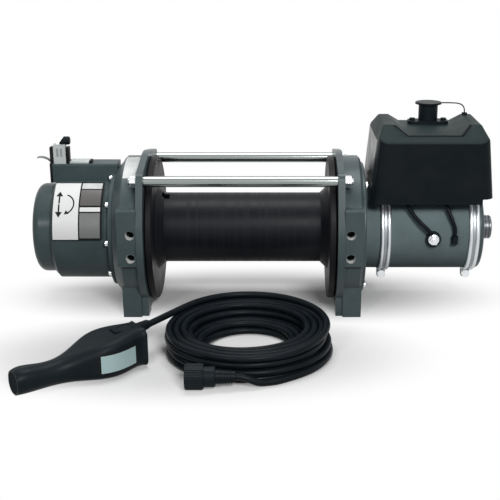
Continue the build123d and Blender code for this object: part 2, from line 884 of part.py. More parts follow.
plate_0 = commutator_x1 + brush_plate_gap
plate_1 = plate_0 + brush_plate_t
brush_plate = bar_x(case_bore, plate_0, plate_1)
brush_plate -= bar_x(commutator_r + brush_plate_room, plate_0 - over, plate_1 + over)
save("brush_gear", brush_plate, *brushes)
front_bearing = bar_x(bearing_r, bearing_x0, bearing_x1)
front_bearing -= bar_x(rotor_shaft_r + run_fit, bearing_x0 - over, bearing_x1 + over)
end_bearing_x1 = end_bearing_x0 + bearing_w
end_bearing = bar_x(end_bearing_r, end_bearing_x0, end_bearing_x1)
end_bearing -= bar_x(rotor_shaft_r + run_fit, end_bearing_x0 - over, end_bearing_x1 + over)
save("shaft_bearings", end_bush, front_bearing, end_bearing)

# Clamp bands: two ribs with a groove between, closed by a bolt through lugs under the motor

bands = []
band_bolts = []
for middle in (band_1_x, band_2_x):
    x0 = middle - band_w / 2
    x1 = middle + band_w / 2
    outer = motor_r + band_t
    rib = band_w * band_rib
    band = turned(
        [
            (x0, motor_r),
            (x0, outer - band_drop),
            (x0 + band_ease, outer),
            (x0 + rib, outer),
            (x0 + rib + band_flank, outer - band_groove),
            (x1 - rib - band_flank, outer - band_groove),
            (x1 - rib, outer),
            (x1 - band_ease, outer),
            (x1, outer - band_drop),
            (x1, motor_r),
        ]
    )
    lug_z0 = axis_h - outer - band_lug_h + band_t
    lug_y = band_lug_gap / 2 + band_t
    lug_x0 = middle - band_lug_w / 2
    lug_x1 = middle + band_lug_w / 2
    lugs = block(lug_x0, lug_x1, -lug_y, lug_y, lug_z0, axis_h - motor_r)
    band += lugs - bar_x(motor_r, x0 - over, x1 + over)
    half_gap = band_lug_gap / 2
    band -= block(x0 - over, x1 + over, -half_gap, half_gap, lug_z0 - over, axis_h)
    bolt_z = lug_z0 + band_bolt_r + band_bolt_edge
    band -= bar_y(band_bolt_r, -lug_y - over, lug_y + over, middle, bolt_z)
    bands.append(band)
    head_y = lug_y + band_head_h
    bolt = bar_y(band_bolt_r, -head_y, head_y + band_bolt_proud, middle, bolt_z)
    bolt += bar_y(band_head_r, -head_y, -lug_y, middle, bolt_z)
    bolt += bar_y(band_head_r, lug_y, head_y, middle, bolt_z)
    band_bolts.append(bolt)
save("clamp_bands", *bands)
save("clamp_bolts", *band_bolts)

# Terminal on the motor front, and the two leads that come down from the control box

case_round = bar_x(motor_r, motor_face, can_x1)
insulator_face = -(motor_r + insulator_h)
insulator = bar_y(insulator_r, insulator_face, insulator_h - motor_r, terminal_x, axis_h) - case_round
stud = bar_y(stud_r, -(motor_r + stud_proud), over - motor_r, terminal_x, axis_h) - case_round
lug_face = insulator_face - lug_t
lug_plate = bar_y(lug_r, lug_face, insulator_face, terminal_x, axis_h) - stud
nut_outline = RegularPolygon(terminal_nut_r, 6) - Circle(stud_r)
nut_place = Plane(origin=(terminal_x, lug_face, axis_h), x_dir=(1, 0, 0), z_dir=(0, -1, 0))
save("terminal_hardware", stud, lug_plate, extrude(nut_place * nut_outline, terminal_nut_h))


def easy_radii(points):
    # the largest arc that each corner's two runs allow
    spots = [Vector(*p) for p in points]
    radii = []
    for before, here, after in zip(spots, spots[1:], spots[2:]):
        turn = math.radians((here - before).get_angle(after - here))
        run = min((here - before).length, (after - here).length)
        radii.append(0.45 * run / math.tan(turn / 2))
    return radii


def tube(name, points, radius):
    radii = easy_radii(points)
    path = FilletPolyline(*points, radius=radii)
    solid = sweep(Plane(origin=path @ 0, z_dir=path % 0) * Circle(radius), path=path)
    expected = math.pi * radius**2 * path.length
    shares = [round(r, 1) for r in radii]
    print(name, "length", round(path.length, 1), "radii", shares, "volume", solid.volume / expected)
    return solid


lead_y = lug_face - lead_r
lead_end_z = axis_h + terminal_nut_r + 0.9
lead_1 = tube(
    "motor_lead_1",
    [
        (terminal_x - 33, -44, axis_h + tray_rise),
        (terminal_x - 33, -44, axis_h + 42),
        (terminal_x - 23, -53, axis_h + 27),
        (terminal_x - 9, lead_y, axis_h + 16),
        (terminal_x - 3, lead_y, lead_end_z),
    ],
    lead_r,
)
boot_x = terminal_2_x
boot_y = -(motor_r + lead_r + boot_gap)
boot_z0 = axis_h + boot_rise - boot_len
boot_z1 = axis_h + boot_rise
lead_2 = tube(
    "motor_lead_2",
    [
        (boot_x - 12, -44, axis_h + tray_rise),
        (boot_x - 12, -44, axis_h + 43),
        (boot_x - 5, -52, axis_h + 28),
        (boot_x, boot_y, axis_h + 14),
        (boot_x, boot_y, boot_z1),
    ],
    lead_r,
)
save("motor_leads", lead_1, lead_2)
boot = bar_z(boot_r, boot_z0, boot_z1, boot_x, boot_y)
boot += bar_y(boot_r, boot_y, boot_gap - motor_r, boot_x, (boot_z0 + boot_z1) / 2)
save("terminal_insulators", insulator - stud, boot - case_round)

# Control box: tray clamped over the bands, contactors on it, and a moulded cover


def box_form(inset):
    x0 = box_x0 + inset
    x1 = box_x0 + box_len - inset
    bottom = axis_h + box_bottom - inset
    fold = axis_h + box_fold - inset / 2
    top = axis_h + box_top - inset
    front = make_face(
        Polyline(
            (x0, 0, bottom),
            (x0 + box_fold_in, 0, fold),
            (x0 + box_top_in, 0, top),
            (x1 - box_top_in, 0, top),
            (x1 - box_fold_in, 0, fold),
            (x1, 0, bottom),
            close=True,
        )
    )
    half = box_half_y - inset
    fold_half = box_fold_half_y - inset
    top_half = box_top_half_y - inset
    side = make_face(
        Polyline(
            (0, -half, bottom),
            (0, -fold_half, fold),
            (0, -top_half, top),
            (0, top_half, top),
            (0, fold_half, fold),
            (0, half, bottom),
            close=True,
        )
    )
    long = extrude(front, 2 * box_half_y, dir=(0, 1, 0), both=True)
    return long & extrude(side, 3 * box_len, dir=(1, 0, 0))


def channel(grow):
    # dip across the top of the cover, in which the socket stands
    floor = axis_h + channel_floor - grow
    high = axis_h + box_top + channel_over
    steep = (high - floor) / (box_top - channel_floor)
    x0 = box_x0 + channel_x0 - grow
    x1 = box_x0 + channel_x1 + grow
    high_x0 = x0 - channel_side_l * steep
    high_x1 = x1 + channel_side_r * steep
    face = make_face(
        Polyline((x0, 0, floor), (x1, 0, floor), (high_x1, 0, high), (high_x0, 0, high), close=True)
    )
    return extrude(face, 2 * box_half_y, dir=(0, 1, 0), both=True)


def box_round(inset):
    form = box_form(inset)
    corners = [e for e in form.edges() if abs((e % 0.5).Z) > 0.9]
    return fillet(corners, box_corner - inset)


outside = box_round(0.0)
inside = box_round(box_wall)
shoulders = [e for e in outside.edges() if e.center().Z > axis_h + box_fold - over]
outside = fillet(shoulders, box_shoulder)
cover = (outside - channel(0.0)) - (inside - channel(box_wall))
cover -= bar_x(motor_r + box_motor_gap, box_x0 - over, box_x0 + box_len + over)
box_x1 = box_x0 + box_len
box_z0 = axis_h + box_bottom
cover -= block(
    box_x1 - box_cut_w,
    box_x1 + over,
    -box_half_y - over,
    box_half_y + over,
    box_z0 - over,
    box_z0 + box_cut_h,
)
save("control_box_cover", cover)

tray_z0 = axis_h + tray_rise
slab = block(box_x0, box_x1, -box_half_y, box_half_y, tray_z0, tray_z0 + tray_t)
tray = inside & slab
band_round = bar_x(motor_r + band_t, motor_face, bell_x1)
for middle in (band_1_x, band_2_x):
    saddle_x = band_w * saddle_share
    saddle = block(middle - saddle_x, middle + saddle_x, -saddle_y, saddle_y, axis_h, tray_z0)
    tray += saddle - band_round - block(0, 2 * bell_x1, -lip_r, lip_r, 0, axis_h + saddle_low)
save("control_box_tray", tray)
contactors = []
box_middle = box_x0 + box_len / 2
for side_x in (-0.5, 0.5):
    for side_y in (-0.5, 0.5):
        x = box_middle + side_x * contactor_pitch_x
        y = side_y * contactor_pitch_y
        can_z0 = tray_z0 + tray_t
        contactor = bar_z(contactor_r, can_z0, can_z0 + contactor_h, x, y)
        contactors.append(chamfer(contactor.edges().filter_by(GeomType.CIRCLE), contactor_chamfer))
save("contactors", *contactors)

# Socket in the dip of the cover, with its pull-off cap and tether

floor_z = axis_h + channel_floor
rim_z = axis_h + socket_rise
flange_top = floor_z + socket_flange_t
flange_shape = RectangleRounded(socket_flange_x, socket_flange_y, socket_flange_y / 3)
socket = extrude(Pos(socket_x, socket_y, floor_z) * flange_shape, socket_flange_t)
socket += bar_z(socket_r, flange_top, rim_z, socket_x, socket_y)
socket_bore = socket_r - socket_wall
socket -= bar_z(socket_bore, flange_top + socket_floor, rim_z + over, socket_x, socket_y)
save("socket", socket)
screws = []
screw_x = (socket_flange_x - socket_flange_y / 2) / 2
for side in (-1, 1):
    x = socket_x + side * screw_x
    screws.append(bar_z(socket_screw_r, flange_top, flange_top + socket_screw_h, x, socket_y))
shoulder_z = axis_h + box_top
tether_end = shoulder_z + socket_screw_h
screws.append(bar_z(socket_screw_r, shoulder_z, tether_end, tether_screw_x, socket_y))
save("socket_screws", *screws)
cap_top = rim_z + cap_disc_t
dust_cap = bar_z(cap_disc_r, rim_z, cap_top, socket_x, socket_y)
dust_cap = fillet(dust_cap.edges().filter_by(GeomType.CIRCLE).sort_by(Axis.Z)[-1], cap_edge)
dust_cap += bar_z(socket_bore - cap_play, rim_z - cap_skirt, rim_z, socket_x, socket_y)
save("dust_cap", dust_cap)
tether_z = rim_z + cap_disc_t / 2
tether_x = socket_x + cap_disc_r
tether = tube(
    "cap_tether",
    [
        (tether_x, socket_y, tether_z),
        (tether_x + 11, socket_y, tether_z),
        (tether_screw_x - 6, socket_y, tether_z - 0.7),
        (tether_screw_x, socket_y, tether_z - 5.2),
        (tether_screw_x, socket_y, tether_end),
    ],
    tether_r,
)
save("cap_tether", tether)

# Coil of cord: one tube that spirals in and out through the layers of a bowl, with a part turn on top

cord_pitch = 2 * cord_r + cord_gap
coil_turns = coil_whole_turns + (coil_end - coil_start) / 360
last_run = coil_turns - coil_top_turns - sum(coil_runs)
runs = [*coil_runs, last_run, coil_top_turns]
edge_turns = [0.0]
edge_radii = [coil_r_out]
for layer, run in enumerate(runs):
    way = 1 if layer % 2 else -1
    edge_turns.append(edge_turns[-1] + run)
    edge_radii.append(edge_radii[-1] + way * cord_pitch * run)
ease = coil_ease


def coil_point(turn):
    # the radius falls and rises by one pitch a turn, and each reversal climbs a layer
    level = sum(turn > edge for edge in edge_turns[1:-1])
    way = 1 if level % 2 else -1
    radius = edge_radii[level] + way * cord_pitch * (turn - edge_turns[level])
    for k in range(1, len(runs)):
        away = turn - edge_turns[k]
        if abs(away) < ease:
            way = 1 if k % 2 else -1
            radius = edge_radii[k] + way * cord_pitch * (away**2 / ease + ease) / 2
            climb = (away + ease) / (2 * ease)
            level = k - 1 + climb**2 * (3 - 2 * climb)
    angle = math.radians(coil_start) + 2 * math.pi * turn
    x = coil_x + radius * math.cos(angle)
    y = coil_y + radius * math.sin(angle)
    return Vector(x, y, floor_gap + cord_r + cord_pitch * level)


def coil_heading(turn):
    step = 0.002
    before = coil_point(max(turn - step, 0.0))
    after = coil_point(min(turn + step, coil_turns))
    return (after - before).normalized()


def ring_heading(angle_deg):
    angle = math.radians(angle_deg)
    return Vector(-math.sin(angle), math.cos(angle), 0)


def biarc(start, start_way, end, end_way):
    chord = end - start
    bend = 1 - start_way.dot(end_way)
    along = chord.dot(start_way + end_way)
    reach = (math.sqrt(along**2 + 2 * bend * chord.dot(chord)) - along) / (2 * bend)
    middle = (start + start_way * reach + end - end_way * reach) * 0.5
    way = (end - end_way * reach - start - start_way * reach).normalized()
    return [
        TangentArc(start, middle, tangent=start_way).edge(),
        TangentArc(middle, end, tangent=way).edge(),
    ]


marks = [0.0]
for edge in edge_turns[1:-1]:
    begin = marks[-1]
    finish = edge - ease
    quarters = math.ceil(4 * (finish - begin))
    marks += [begin + (finish - begin) * (i + 1) / quarters for i in range(quarters)]
    marks += [finish + ease, finish + 2 * ease]
begin = marks[-1]
quarters = math.ceil(4 * (coil_turns - begin))
marks += [begin + (coil_turns - begin) * (i + 1) / quarters for i in range(quarters)]
steps = len(marks) - 1
spots = [coil_point(t) for t in marks]
ways = [coil_heading(t) for t in marks]
ways[0] = ring_heading(coil_start)
ways[-1] = ring_heading(coil_end)
straight = 2 * cord_r
tail_face = spots[0] - ways[0] * straight
lead_face = spots[-1] + ways[-1] * straight
coil_edges = [Line(tail_face, spots[0]).edge()]
for i in range(steps):
    coil_edges += biarc(spots[i], ways[i], spots[i + 1], ways[i + 1])
coil_edges.append(Line(spots[-1], lead_face).edge())
coil_path = Wire(coil_edges)
coil = sweep(Plane(origin=tail_face, z_dir=ways[0]) * Circle(cord_r), path=coil_path)
coil_share = coil.volume / (math.pi * cord_r**2 * coil_path.length)
per_turn = 24
fine_count = int(per_turn * coil_turns)
fine = [coil_path @ (i / fine_count) for i in range(fine_count + 1)]
far = per_turn // 2
least = min(
    (fine[i] - fine[j]).length for i in range(len(fine)) for j in range(i + far, len(fine))
)
print("coil length", coil_path.length, "volume", coil_share, "least gap", least - 2 * cord_r)
save("cord_coil", coil)

# Lead from the coil to the remote, straight, and tail from the coil to the plug

lead_tip = lead_face + ways[-1] * lead_len
lead_path = Line(lead_face, lead_tip)
save("cord_lead", sweep(Plane(origin=lead_face, z_dir=ways[-1]) * Circle(cord_r), path=lead_path))
tail = tube(
    "cord_tail",
    [
        (plug_x, plug_y, plug_r),
        (plug_x + 15, plug_y, plug_r - 1),
        tuple(tail_face - ways[0] * tail_run),
        tuple(tail_face),
    ],
    cord_r,
)
save("cord_tail", tail)

# Plug on the floor in front of the coil, with a collar that slides over the socket

plug_x0 = plug_x - plug_boot_len - plug_len
plug_x1 = plug_x - plug_boot_len
collar_x1 = plug_x0 + plug_collar
plug = bar_x(plug_r, plug_x0, collar_x1, plug_y, plug_r)
plug = chamfer(plug.edges().filter_by(GeomType.CIRCLE), plug_chamfer)
plug_back = bar_x(plug_back_r, collar_x1, plug_x1, plug_y, plug_r)
back_rim = plug_back.edges().filter_by(GeomType.CIRCLE).sort_by(Axis.X)[-1]
plug += chamfer(back_rim, plug_back_chamfer)
plug_bore = socket_r + plug_fit
plug -= bar_x(plug_bore, plug_x0 - over, plug_x0 + plug_bore_deep, plug_y, plug_r)
contacts = []
for i in range(plug_pins):
    angle = 2 * math.pi * i / plug_pins
    y = plug_y + socket_bore * plug_pin_ring * math.cos(angle)
    z = plug_r + socket_bore * plug_pin_ring * math.sin(angle)
    contacts.append(bar_x(plug_pin_r, plug_x0 + plug_pin_back, plug_x0 + plug_bore_deep, y, z))
save("plug", plug, *contacts)
boot_tip = plug_boot_r - plug_boot_taper
plug_boot = Pos(plug_x - plug_boot_len / 2, plug_y, plug_r) * Rot(0, 90, 0) * Cone(
    plug_boot_r, boot_tip, plug_boot_len
)
save("plug_boot", plug_boot)

# Remote: two moulded half shells, the rocker in its head and the strain relief

remote_sections = (
    (0.0, 25.0, 25.0, 11.0),
    (8.0, 28.0, 27.0, 12.0),
    (52.0, 28.0, 27.0, 12.0),
    (68.0, 37.0, 31.0, 11.0),
    (86.0, 50.0, 36.0, 9.0),
    (104.0, 53.0, 39.5, 8.0),
    (142.0, 40.0, 42.0, 8.0),
)
remote_len = remote_sections[-1][0]
remote_place = Pos(remote_end_x, remote_end_y, 0) * Rot(0, 0, remote_heading)


def remote_form(inset):
    faces = []
    for x, width, height, corner in remote_sections:
        at = min(max(x, inset), remote_len - inset)
        place = Plane(origin=(at, 0, height / 2), x_dir=(0, 1, 0), z_dir=(1, 0, 0))
        faces.append(place * RectangleRounded(width - 2 * inset, height - 2 * inset, corner - inset))
    return loft(faces)


outer_form = remote_form(0.0)
shell = outer_form - remote_form(remote_wall)
head_top = remote_sections[-1][2]
rocker_top = head_top + rocker_proud
pivot_z = rocker_top - rocker_h / 2
open_x = rocker_len / 2 + rocker_play
open_y = rocker_w / 2 + rocker_play
open_z0 = rocker_top - rocker_h - rocker_play
opening = block(rocker_at - open_x, rocker_at + open_x, -open_y, open_y, open_z0, rocker_top + over)
shell -= opening
tilt = math.degrees(math.atan2(remote_split_1 - remote_split_0, remote_len))
split_plane = Plane.XY.offset(remote_split_0).rotated((0, -tilt, 0))
upper = split(shell, split_plane, keep=Keep.TOP)
lower = split(shell, split_plane, keep=Keep.BOTTOM)
cheek_y = open_y + cheek_t
for side in (-1, 1):
    cheek_x0 = rocker_at - cheek_half
    cheek_x1 = rocker_at + cheek_half
    cheek_z0 = pivot_z - cheek_low
    cheek_z1 = head_top - remote_wall
    upper += block(cheek_x0, cheek_x1, side * open_y, side * cheek_y, cheek_z0, cheek_z1)
pin_hole = bar_y(rocker_pin_r + run_fit, -cheek_y - over, cheek_y + over, rocker_at, pivot_z)
upper -= pin_hole
save("remote_upper_shell", remote_place * upper)
save("remote_lower_shell", remote_place * lower)
rocker_face = make_face(
    Polyline(
        (rocker_at - rocker_len / 2, 0, rocker_top - rocker_h),
        (rocker_at + rocker_len / 2, 0, rocker_top - rocker_h),
        (rocker_at + rocker_len / 2, 0, rocker_top),
        (rocker_at, 0, rocker_top - rocker_dip),
        (rocker_at - rocker_len / 2, 0, rocker_top),
        close=True,
    )
)
rocker = extrude(rocker_face, rocker_w / 2, dir=(0, 1, 0), both=True)
pin_half = cheek_y - rocker_pin_short
rocker += bar_y(rocker_pin_r, -pin_half, pin_half, rocker_at, pivot_z)
save("remote_rocker", remote_place * rocker)
relief_way = ways[-1]
relief_root = lead_tip + relief_way * (relief_len + relief_root_deep)
relief_slope = (relief_r - relief_tip_r) / relief_len
relief_root_r = relief_r + relief_slope * relief_root_deep
relief_middle = (lead_tip + relief_root) * 0.5
relief_plane = Plane(origin=relief_middle, z_dir=relief_way)
relief = relief_plane * Cone(relief_tip_r, relief_root_r, relief_len + relief_root_deep)
save("strain_relief", (relief - remote_place * outer_form).solids().sort_by(Axis.X)[-1])
print("remote end", remote_place.position, "relief root", lead_tip + relief_way * relief_len)
print("rocker pivot", (remote_place * Pos(rocker_at, 0, pivot_z)).position)
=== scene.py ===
import bpy
import bmesh
import json
import math
from mathutils import Matrix, Vector


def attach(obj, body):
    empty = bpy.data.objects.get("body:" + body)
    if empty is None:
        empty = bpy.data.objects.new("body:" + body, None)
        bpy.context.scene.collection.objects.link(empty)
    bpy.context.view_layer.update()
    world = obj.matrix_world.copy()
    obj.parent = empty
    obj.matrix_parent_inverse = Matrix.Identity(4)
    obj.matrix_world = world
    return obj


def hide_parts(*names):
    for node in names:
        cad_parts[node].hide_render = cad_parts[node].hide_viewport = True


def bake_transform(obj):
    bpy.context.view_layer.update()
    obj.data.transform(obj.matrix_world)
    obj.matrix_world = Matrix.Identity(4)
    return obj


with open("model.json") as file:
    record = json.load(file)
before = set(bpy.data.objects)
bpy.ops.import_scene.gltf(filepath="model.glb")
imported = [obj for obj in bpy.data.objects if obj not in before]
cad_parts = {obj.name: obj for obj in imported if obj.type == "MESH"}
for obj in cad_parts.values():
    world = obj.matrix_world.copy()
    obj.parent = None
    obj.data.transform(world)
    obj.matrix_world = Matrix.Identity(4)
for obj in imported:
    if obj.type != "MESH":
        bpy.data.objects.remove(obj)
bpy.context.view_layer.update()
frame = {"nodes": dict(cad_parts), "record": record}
nodes = frame["nodes"]
scene = bpy.context.scene
axisHeight = 0.094  # drum axis above the base


# camera, at the photograph's height and distance

cameraSet = {"place": (0.0451, -1.2059, 0.4448), "down": 17.53, "sensor": 36, "lens": 73.27,
             "shift": -0.0597}


def setCamera(c):
    data = bpy.data.cameras.new("photoCamera")
    data.sensor_width = c["sensor"]
    data.lens = c["lens"]
    data.shift_x = c["shift"]
    camera = bpy.data.objects.new("photoCamera", data)
    camera.location = c["place"]
    camera.rotation_euler = (math.radians(90 - c["down"]), 0, 0)
    scene.collection.objects.link(camera)
    scene.camera = camera


setCamera(cameraSet)
scene.view_settings.view_transform = "Standard"
print("camera set")


# finishes

def shaderOf(mat):
    return mat.node_tree.nodes["Principled BSDF"]


def newFinish(name, colour, roughness, metallic=0.0, gloss=0.5):
    mat = bpy.data.materials.new(name)
    mat.use_nodes = True
    shader = shaderOf(mat)
    shader.inputs["Base Color"].default_value = (*colour, 1)
    shader.inputs["Roughness"].default_value = roughness
    shader.inputs["Metallic"].default_value = metallic
    shader.inputs["Specular IOR Level"].default_value = gloss
    return mat


def addNode(mat, kind, **values):
    node = mat.node_tree.nodes.new(kind)
    for key, value in values.items():
        if key in node.inputs:
            node.inputs[key].default_value = value
        else:
            setattr(node, key, value)
    return node


def speckle(mat, scale, stretch=(1, 1, 1), detail=3.0):  # noise in metres on the piece itself
    links = mat.node_tree.links
    coord = addNode(mat, "ShaderNodeTexCoord")
    mapping = addNode(mat, "ShaderNodeMapping")
    mapping.inputs["Scale"].default_value = stretch
    noise = addNode(mat, "ShaderNodeTexNoise", Scale=scale, Detail=detail)
    links.new(coord.outputs["Object"], mapping.inputs["Vector"])
    links.new(mapping.outputs["Vector"], noise.inputs["Vector"])
    return noise.outputs["Fac"]


def ramp(mat, source, low, high, lowColour, highColour):
    node = addNode(mat, "ShaderNodeValToRGB")
    stops = node.color_ramp.elements
    stops[0].position, stops[1].position = low, high
    stops[0].color = (*lowColour, 1)
    stops[1].color = (*highColour, 1)
    mat.node_tree.links.new(source, node.inputs["Fac"])
    return node.outputs["Color"]


noiseSpan = (0.3, 0.7)  # nearly all of the noise lies between these


def varyRoughness(mat, source, low, high):
    node = addNode(mat, "ShaderNodeMapRange")
    node.inputs["From Min"].default_value, node.inputs["From Max"].default_value = noiseSpan
    node.inputs["To Min"].default_value = low
    node.inputs["To Max"].default_value = high
    mat.node_tree.links.new(source, node.inputs["Value"])
    mat.node_tree.links.new(node.outputs["Result"], shaderOf(mat).inputs["Roughness"])


def bump(mat, source, strength, distance):
    node = addNode(mat, "ShaderNodeBump", Strength=strength, Distance=distance)
    mat.node_tree.links.new(source, node.inputs["Height"])
    mat.node_tree.links.new(node.outputs["Normal"], shaderOf(mat).inputs["Normal"])


def tint(mat, pattern, span, dark, light):
    colour = ramp(mat, pattern, *span, dark, light)
    mat.node_tree.links.new(colour, shaderOf(mat).inputs["Base Color"])


paintSet = {"cloud": 38.0, "span": (0.3, 0.72), "smoother": 0.06, "rougher": 0.08, "grain": 0.35,
            "detail": 2.0}


def paintFinish(name, dark, light, roughness, grainSize, grainHeight, gloss=0.5):
    c = paintSet
    mat = newFinish(name, light, roughness, gloss=gloss)
    cloud = speckle(mat, c["cloud"])
    tint(mat, cloud, c["span"], dark, light)
    varyRoughness(mat, cloud, roughness - c["smoother"], roughness + c["rougher"])
    bump(mat, speckle(mat, 1.0 / grainSize, detail=c["detail"]), c["grain"], grainHeight)
    return mat


metalSet = {"streak": 60.0, "span": (0.2, 0.8), "detail": 2.0}


def metalFinish(name, dark, light, roughness, stretch=(1, 1, 1), spread=0.05):
    c = metalSet
    mat = newFinish(name, light, roughness, 1.0)
    streak = speckle(mat, c["streak"], stretch, c["detail"])
    tint(mat, streak, c["span"], dark, light)
    varyRoughness(mat, streak, roughness - spread, roughness + spread)
    return mat


plainSet = {"cloud": 120.0, "smoother": 0.04, "rougher": 0.06}


def plainFinish(name, colour, roughness, gloss=0.5):
    c = plainSet
    mat = newFinish(name, colour, roughness, gloss=gloss)
    varyRoughness(mat, speckle(mat, c["cloud"]), roughness - c["smoother"], roughness + c["rougher"])
    return mat


linedSet = {"perMetre": (420, 4, 4), "span": (0.3, 0.7), "smoother": 0.06, "rougher": 0.08, "detail": 2.0,
            "depth": 0.0002, "strength": 0.3}


def linedFinish(name, dark, light, roughness, gloss):  # fine turned lines round the X axis
    c = linedSet
    mat = newFinish(name, light, roughness, gloss=gloss)
    lines = speckle(mat, 1.0, c["perMetre"], c["detail"])
    tint(mat, lines, c["span"], dark, light)
    varyRoughness(mat, lines, roughness - c["smoother"], roughness + c["rougher"])
    bump(mat, lines, c["strength"], c["depth"])
    return mat


paints = {  # dark, light, roughness, size and height of the grain in metres, gloss
    "slatePaint": ((0.050, 0.073, 0.077), (0.068, 0.094, 0.098), 0.33, 0.0016, 0.0001, 0.25),
    "housingPaint": ((0.050, 0.073, 0.077), (0.068, 0.094, 0.098), 0.36, 0.0016, 0.0001, 0.08),
    "capPaint": ((0.050, 0.073, 0.077), (0.068, 0.094, 0.098), 0.30, 0.0016, 0.0001, 0.15),
    "motorPaint": ((0.125, 0.165, 0.171), (0.155, 0.203, 0.211), 0.50, 0.0016, 0.0001, 0.03),
    "drumBlack": ((0.005, 0.005, 0.006), (0.009, 0.009, 0.011), 0.48, 0.002, 0.00008, 0.12),
    # pale metal for the label's foil head, and a painted highlight on the left support's body
    "foil": ((0.44, 0.46, 0.46), (0.74, 0.76, 0.75), 0.45, 0.003, 0.0003),
    "leverPlate": ((0.52, 0.57, 0.56), (0.62, 0.67, 0.66), 0.40, 0.004, 0.0001),
    # a lighter copy of the cover's black for its faces turned upward: painted highlight
    "boxTop": ((0.019, 0.030, 0.030), (0.026, 0.037, 0.037), 0.50, 0.0009, 0.00005, 0.06),
    "boxBlack": ((0.006, 0.009, 0.011), (0.010, 0.013, 0.015), 0.45, 0.0009, 0.00005, 0.06),
    "boxSide": ((0.006, 0.009, 0.011), (0.010, 0.013, 0.015), 0.30, 0.0009, 0.00005, 0.50),
    "handleBlack": ((0.005, 0.009, 0.011), (0.009, 0.014, 0.017), 0.44, 0.0007, 0.00005, 0.09),
    "cordRubber": ((0.004, 0.006, 0.008), (0.007, 0.010, 0.013), 0.36, 0.0012, 0.00005, 0.08),
}
metals = {  # dark, light, roughness, stretch of the streaks, spread of the roughness
    "zinc": ((0.66, 0.68, 0.70), (0.78, 0.80, 0.82), 0.26),
    "rodZinc": ((0.26, 0.29, 0.28), (0.32, 0.35, 0.34), 0.17, (0.03, 1, 1), 0.02),
    "bandZinc": ((0.58, 0.61, 0.63), (0.63, 0.66, 0.68), 0.32, (1, 0.2, 0.2), 0.01),
    # a darker copy of the band zinc for the bands themselves: painted shade between the bright ribs
    "bandDim": ((0.24, 0.26, 0.27), (0.30, 0.32, 0.33), 0.40, (1, 0.2, 0.2), 0.01),
    "machined": ((0.62, 0.64, 0.65), (0.80, 0.81, 0.82), 0.30),
    "bossMetal": ((0.10, 0.11, 0.12), (0.16, 0.17, 0.18), 0.34),
    "gearSteel": ((0.30, 0.30, 0.31), (0.46, 0.46, 0.47), 0.34),
    "coreIron": ((0.12, 0.12, 0.13), (0.20, 0.20, 0.21), 0.5, (6, 1, 1)),
    "bronze": ((0.42, 0.26, 0.11), (0.58, 0.39, 0.19), 0.33),
    "copper": ((0.50, 0.24, 0.13), (0.70, 0.38, 0.22), 0.3),
}
plains = {  # colour, roughness, gloss
    # darker grey for the lever's slots: painted shade
    "leverDim": ((0.32, 0.35, 0.36), 0.45),
    "handleEnd": ((0.050, 0.062, 0.067), 0.60, 0.0),
    "labelWhite": ((0.78, 0.79, 0.78), 0.42),
    "labelGrey": ((0.14, 0.15, 0.145), 0.42),
    "labelDark": ((0.085, 0.080, 0.078), 0.42),
    "labelPale": ((0.42, 0.57, 0.58), 0.40),
    "boreBare": ((0.72, 0.73, 0.72), 0.5),
    # black for print, and painted shade along the cover's saddle and in the bolt sockets
    "ink": ((0.008, 0.009, 0.010), 0.5, 0.1),
}
finishes = {"drumLined": linedFinish("drumLined", (0.004, 0.005, 0.007), (0.008, 0.009, 0.012), 0.40, 0.12)}
for makeFinish, group in ((paintFinish, paints), (metalFinish, metals), (plainFinish, plains)):
    for finishName, values in group.items():
        finishes[finishName] = makeFinish(finishName, *values)

nodeFinish = {
    "slate_paint": "slatePaint", "drum_black": "drumBlack", "zinc": "zinc", "gear_steel": "gearSteel",
    "core_iron": "coreIron", "bronze": "bronze", "copper": "copper", "box_plastic": "boxBlack",
    "black_plastic": "handleBlack", "cord_rubber": "cordRubber",
}
ownFinish = {"gear_housing": "housingPaint", "gear_end_cap": "capPaint", "motor_case": "motorPaint",
             "drum_barrel": "drumLined", "tie_rods": "rodZinc", "clamp_bands": "bandDim",
             "clutch_lever": "leverPlate"}  # nodes that differ from their slot's finish
slotOf = {s["node"]: s["material_slot"] for s in frame["record"]["subparts"]}


def finishOf(nodeName):
    return ownFinish.get(nodeName, nodeFinish[slotOf[nodeName]])


for nodeName, node in nodes.items():
    node.data.materials.clear()
    node.data.materials.append(finishes[finishOf(nodeName)])
print("finishes made")


# floor, backdrop and lights

stageSet = {"floor": 6.0, "rough": 0.9, "bounce": 0.05, "seen": 0.72, "white": (0.02, 1.0), "skyLight": 0.08,
            "shaded": [{"middle": (0.0134, 0.0144, 0), "near": (0.1127, 0.0385, 1), "far": 3.19},
                       {"middle": (-0.050, -0.180, 0), "near": (0.125, 0.060, 1), "far": 2.3}]}


def seenDirectly(tree):  # one for rays from the camera, reflections and glass
    path = tree.nodes.new("ShaderNodeLightPath")
    value = path.outputs["Is Camera Ray"]
    for name in ("Is Glossy Ray", "Is Transmission Ray"):
        both = tree.nodes.new("ShaderNodeMath")
        both.operation = "MAXIMUM"
        tree.links.new(value, both.inputs[0])
        tree.links.new(path.outputs[name], both.inputs[1])
        value = both.outputs[0]
    return value


def whiteShare(mat, area, white):  # from the shaded middle of an area to white all round it
    links = mat.node_tree.links
    coord = addNode(mat, "ShaderNodeTexCoord")
    away = addNode(mat, "ShaderNodeVectorMath", operation="SUBTRACT")
    away.inputs[1].default_value = area["middle"]
    scaled = addNode(mat, "ShaderNodeVectorMath", operation="DIVIDE")
    scaled.inputs[1].default_value = area["near"]
    length = addNode(mat, "ShaderNodeVectorMath", operation="LENGTH")
    share = addNode(mat, "ShaderNodeMapRange", interpolation_type="SMOOTHSTEP")
    share.inputs["From Min"].default_value = 1.0
    share.inputs["From Max"].default_value = area["far"]
    share.inputs["To Min"].default_value, share.inputs["To Max"].default_value = white
    links.new(coord.outputs["Object"], away.inputs[0])
    links.new(away.outputs[0], scaled.inputs[0])
    links.new(scaled.outputs[0], length.inputs[0])
    links.new(length.outputs["Value"], share.inputs["Value"])
    return share.outputs["Result"]


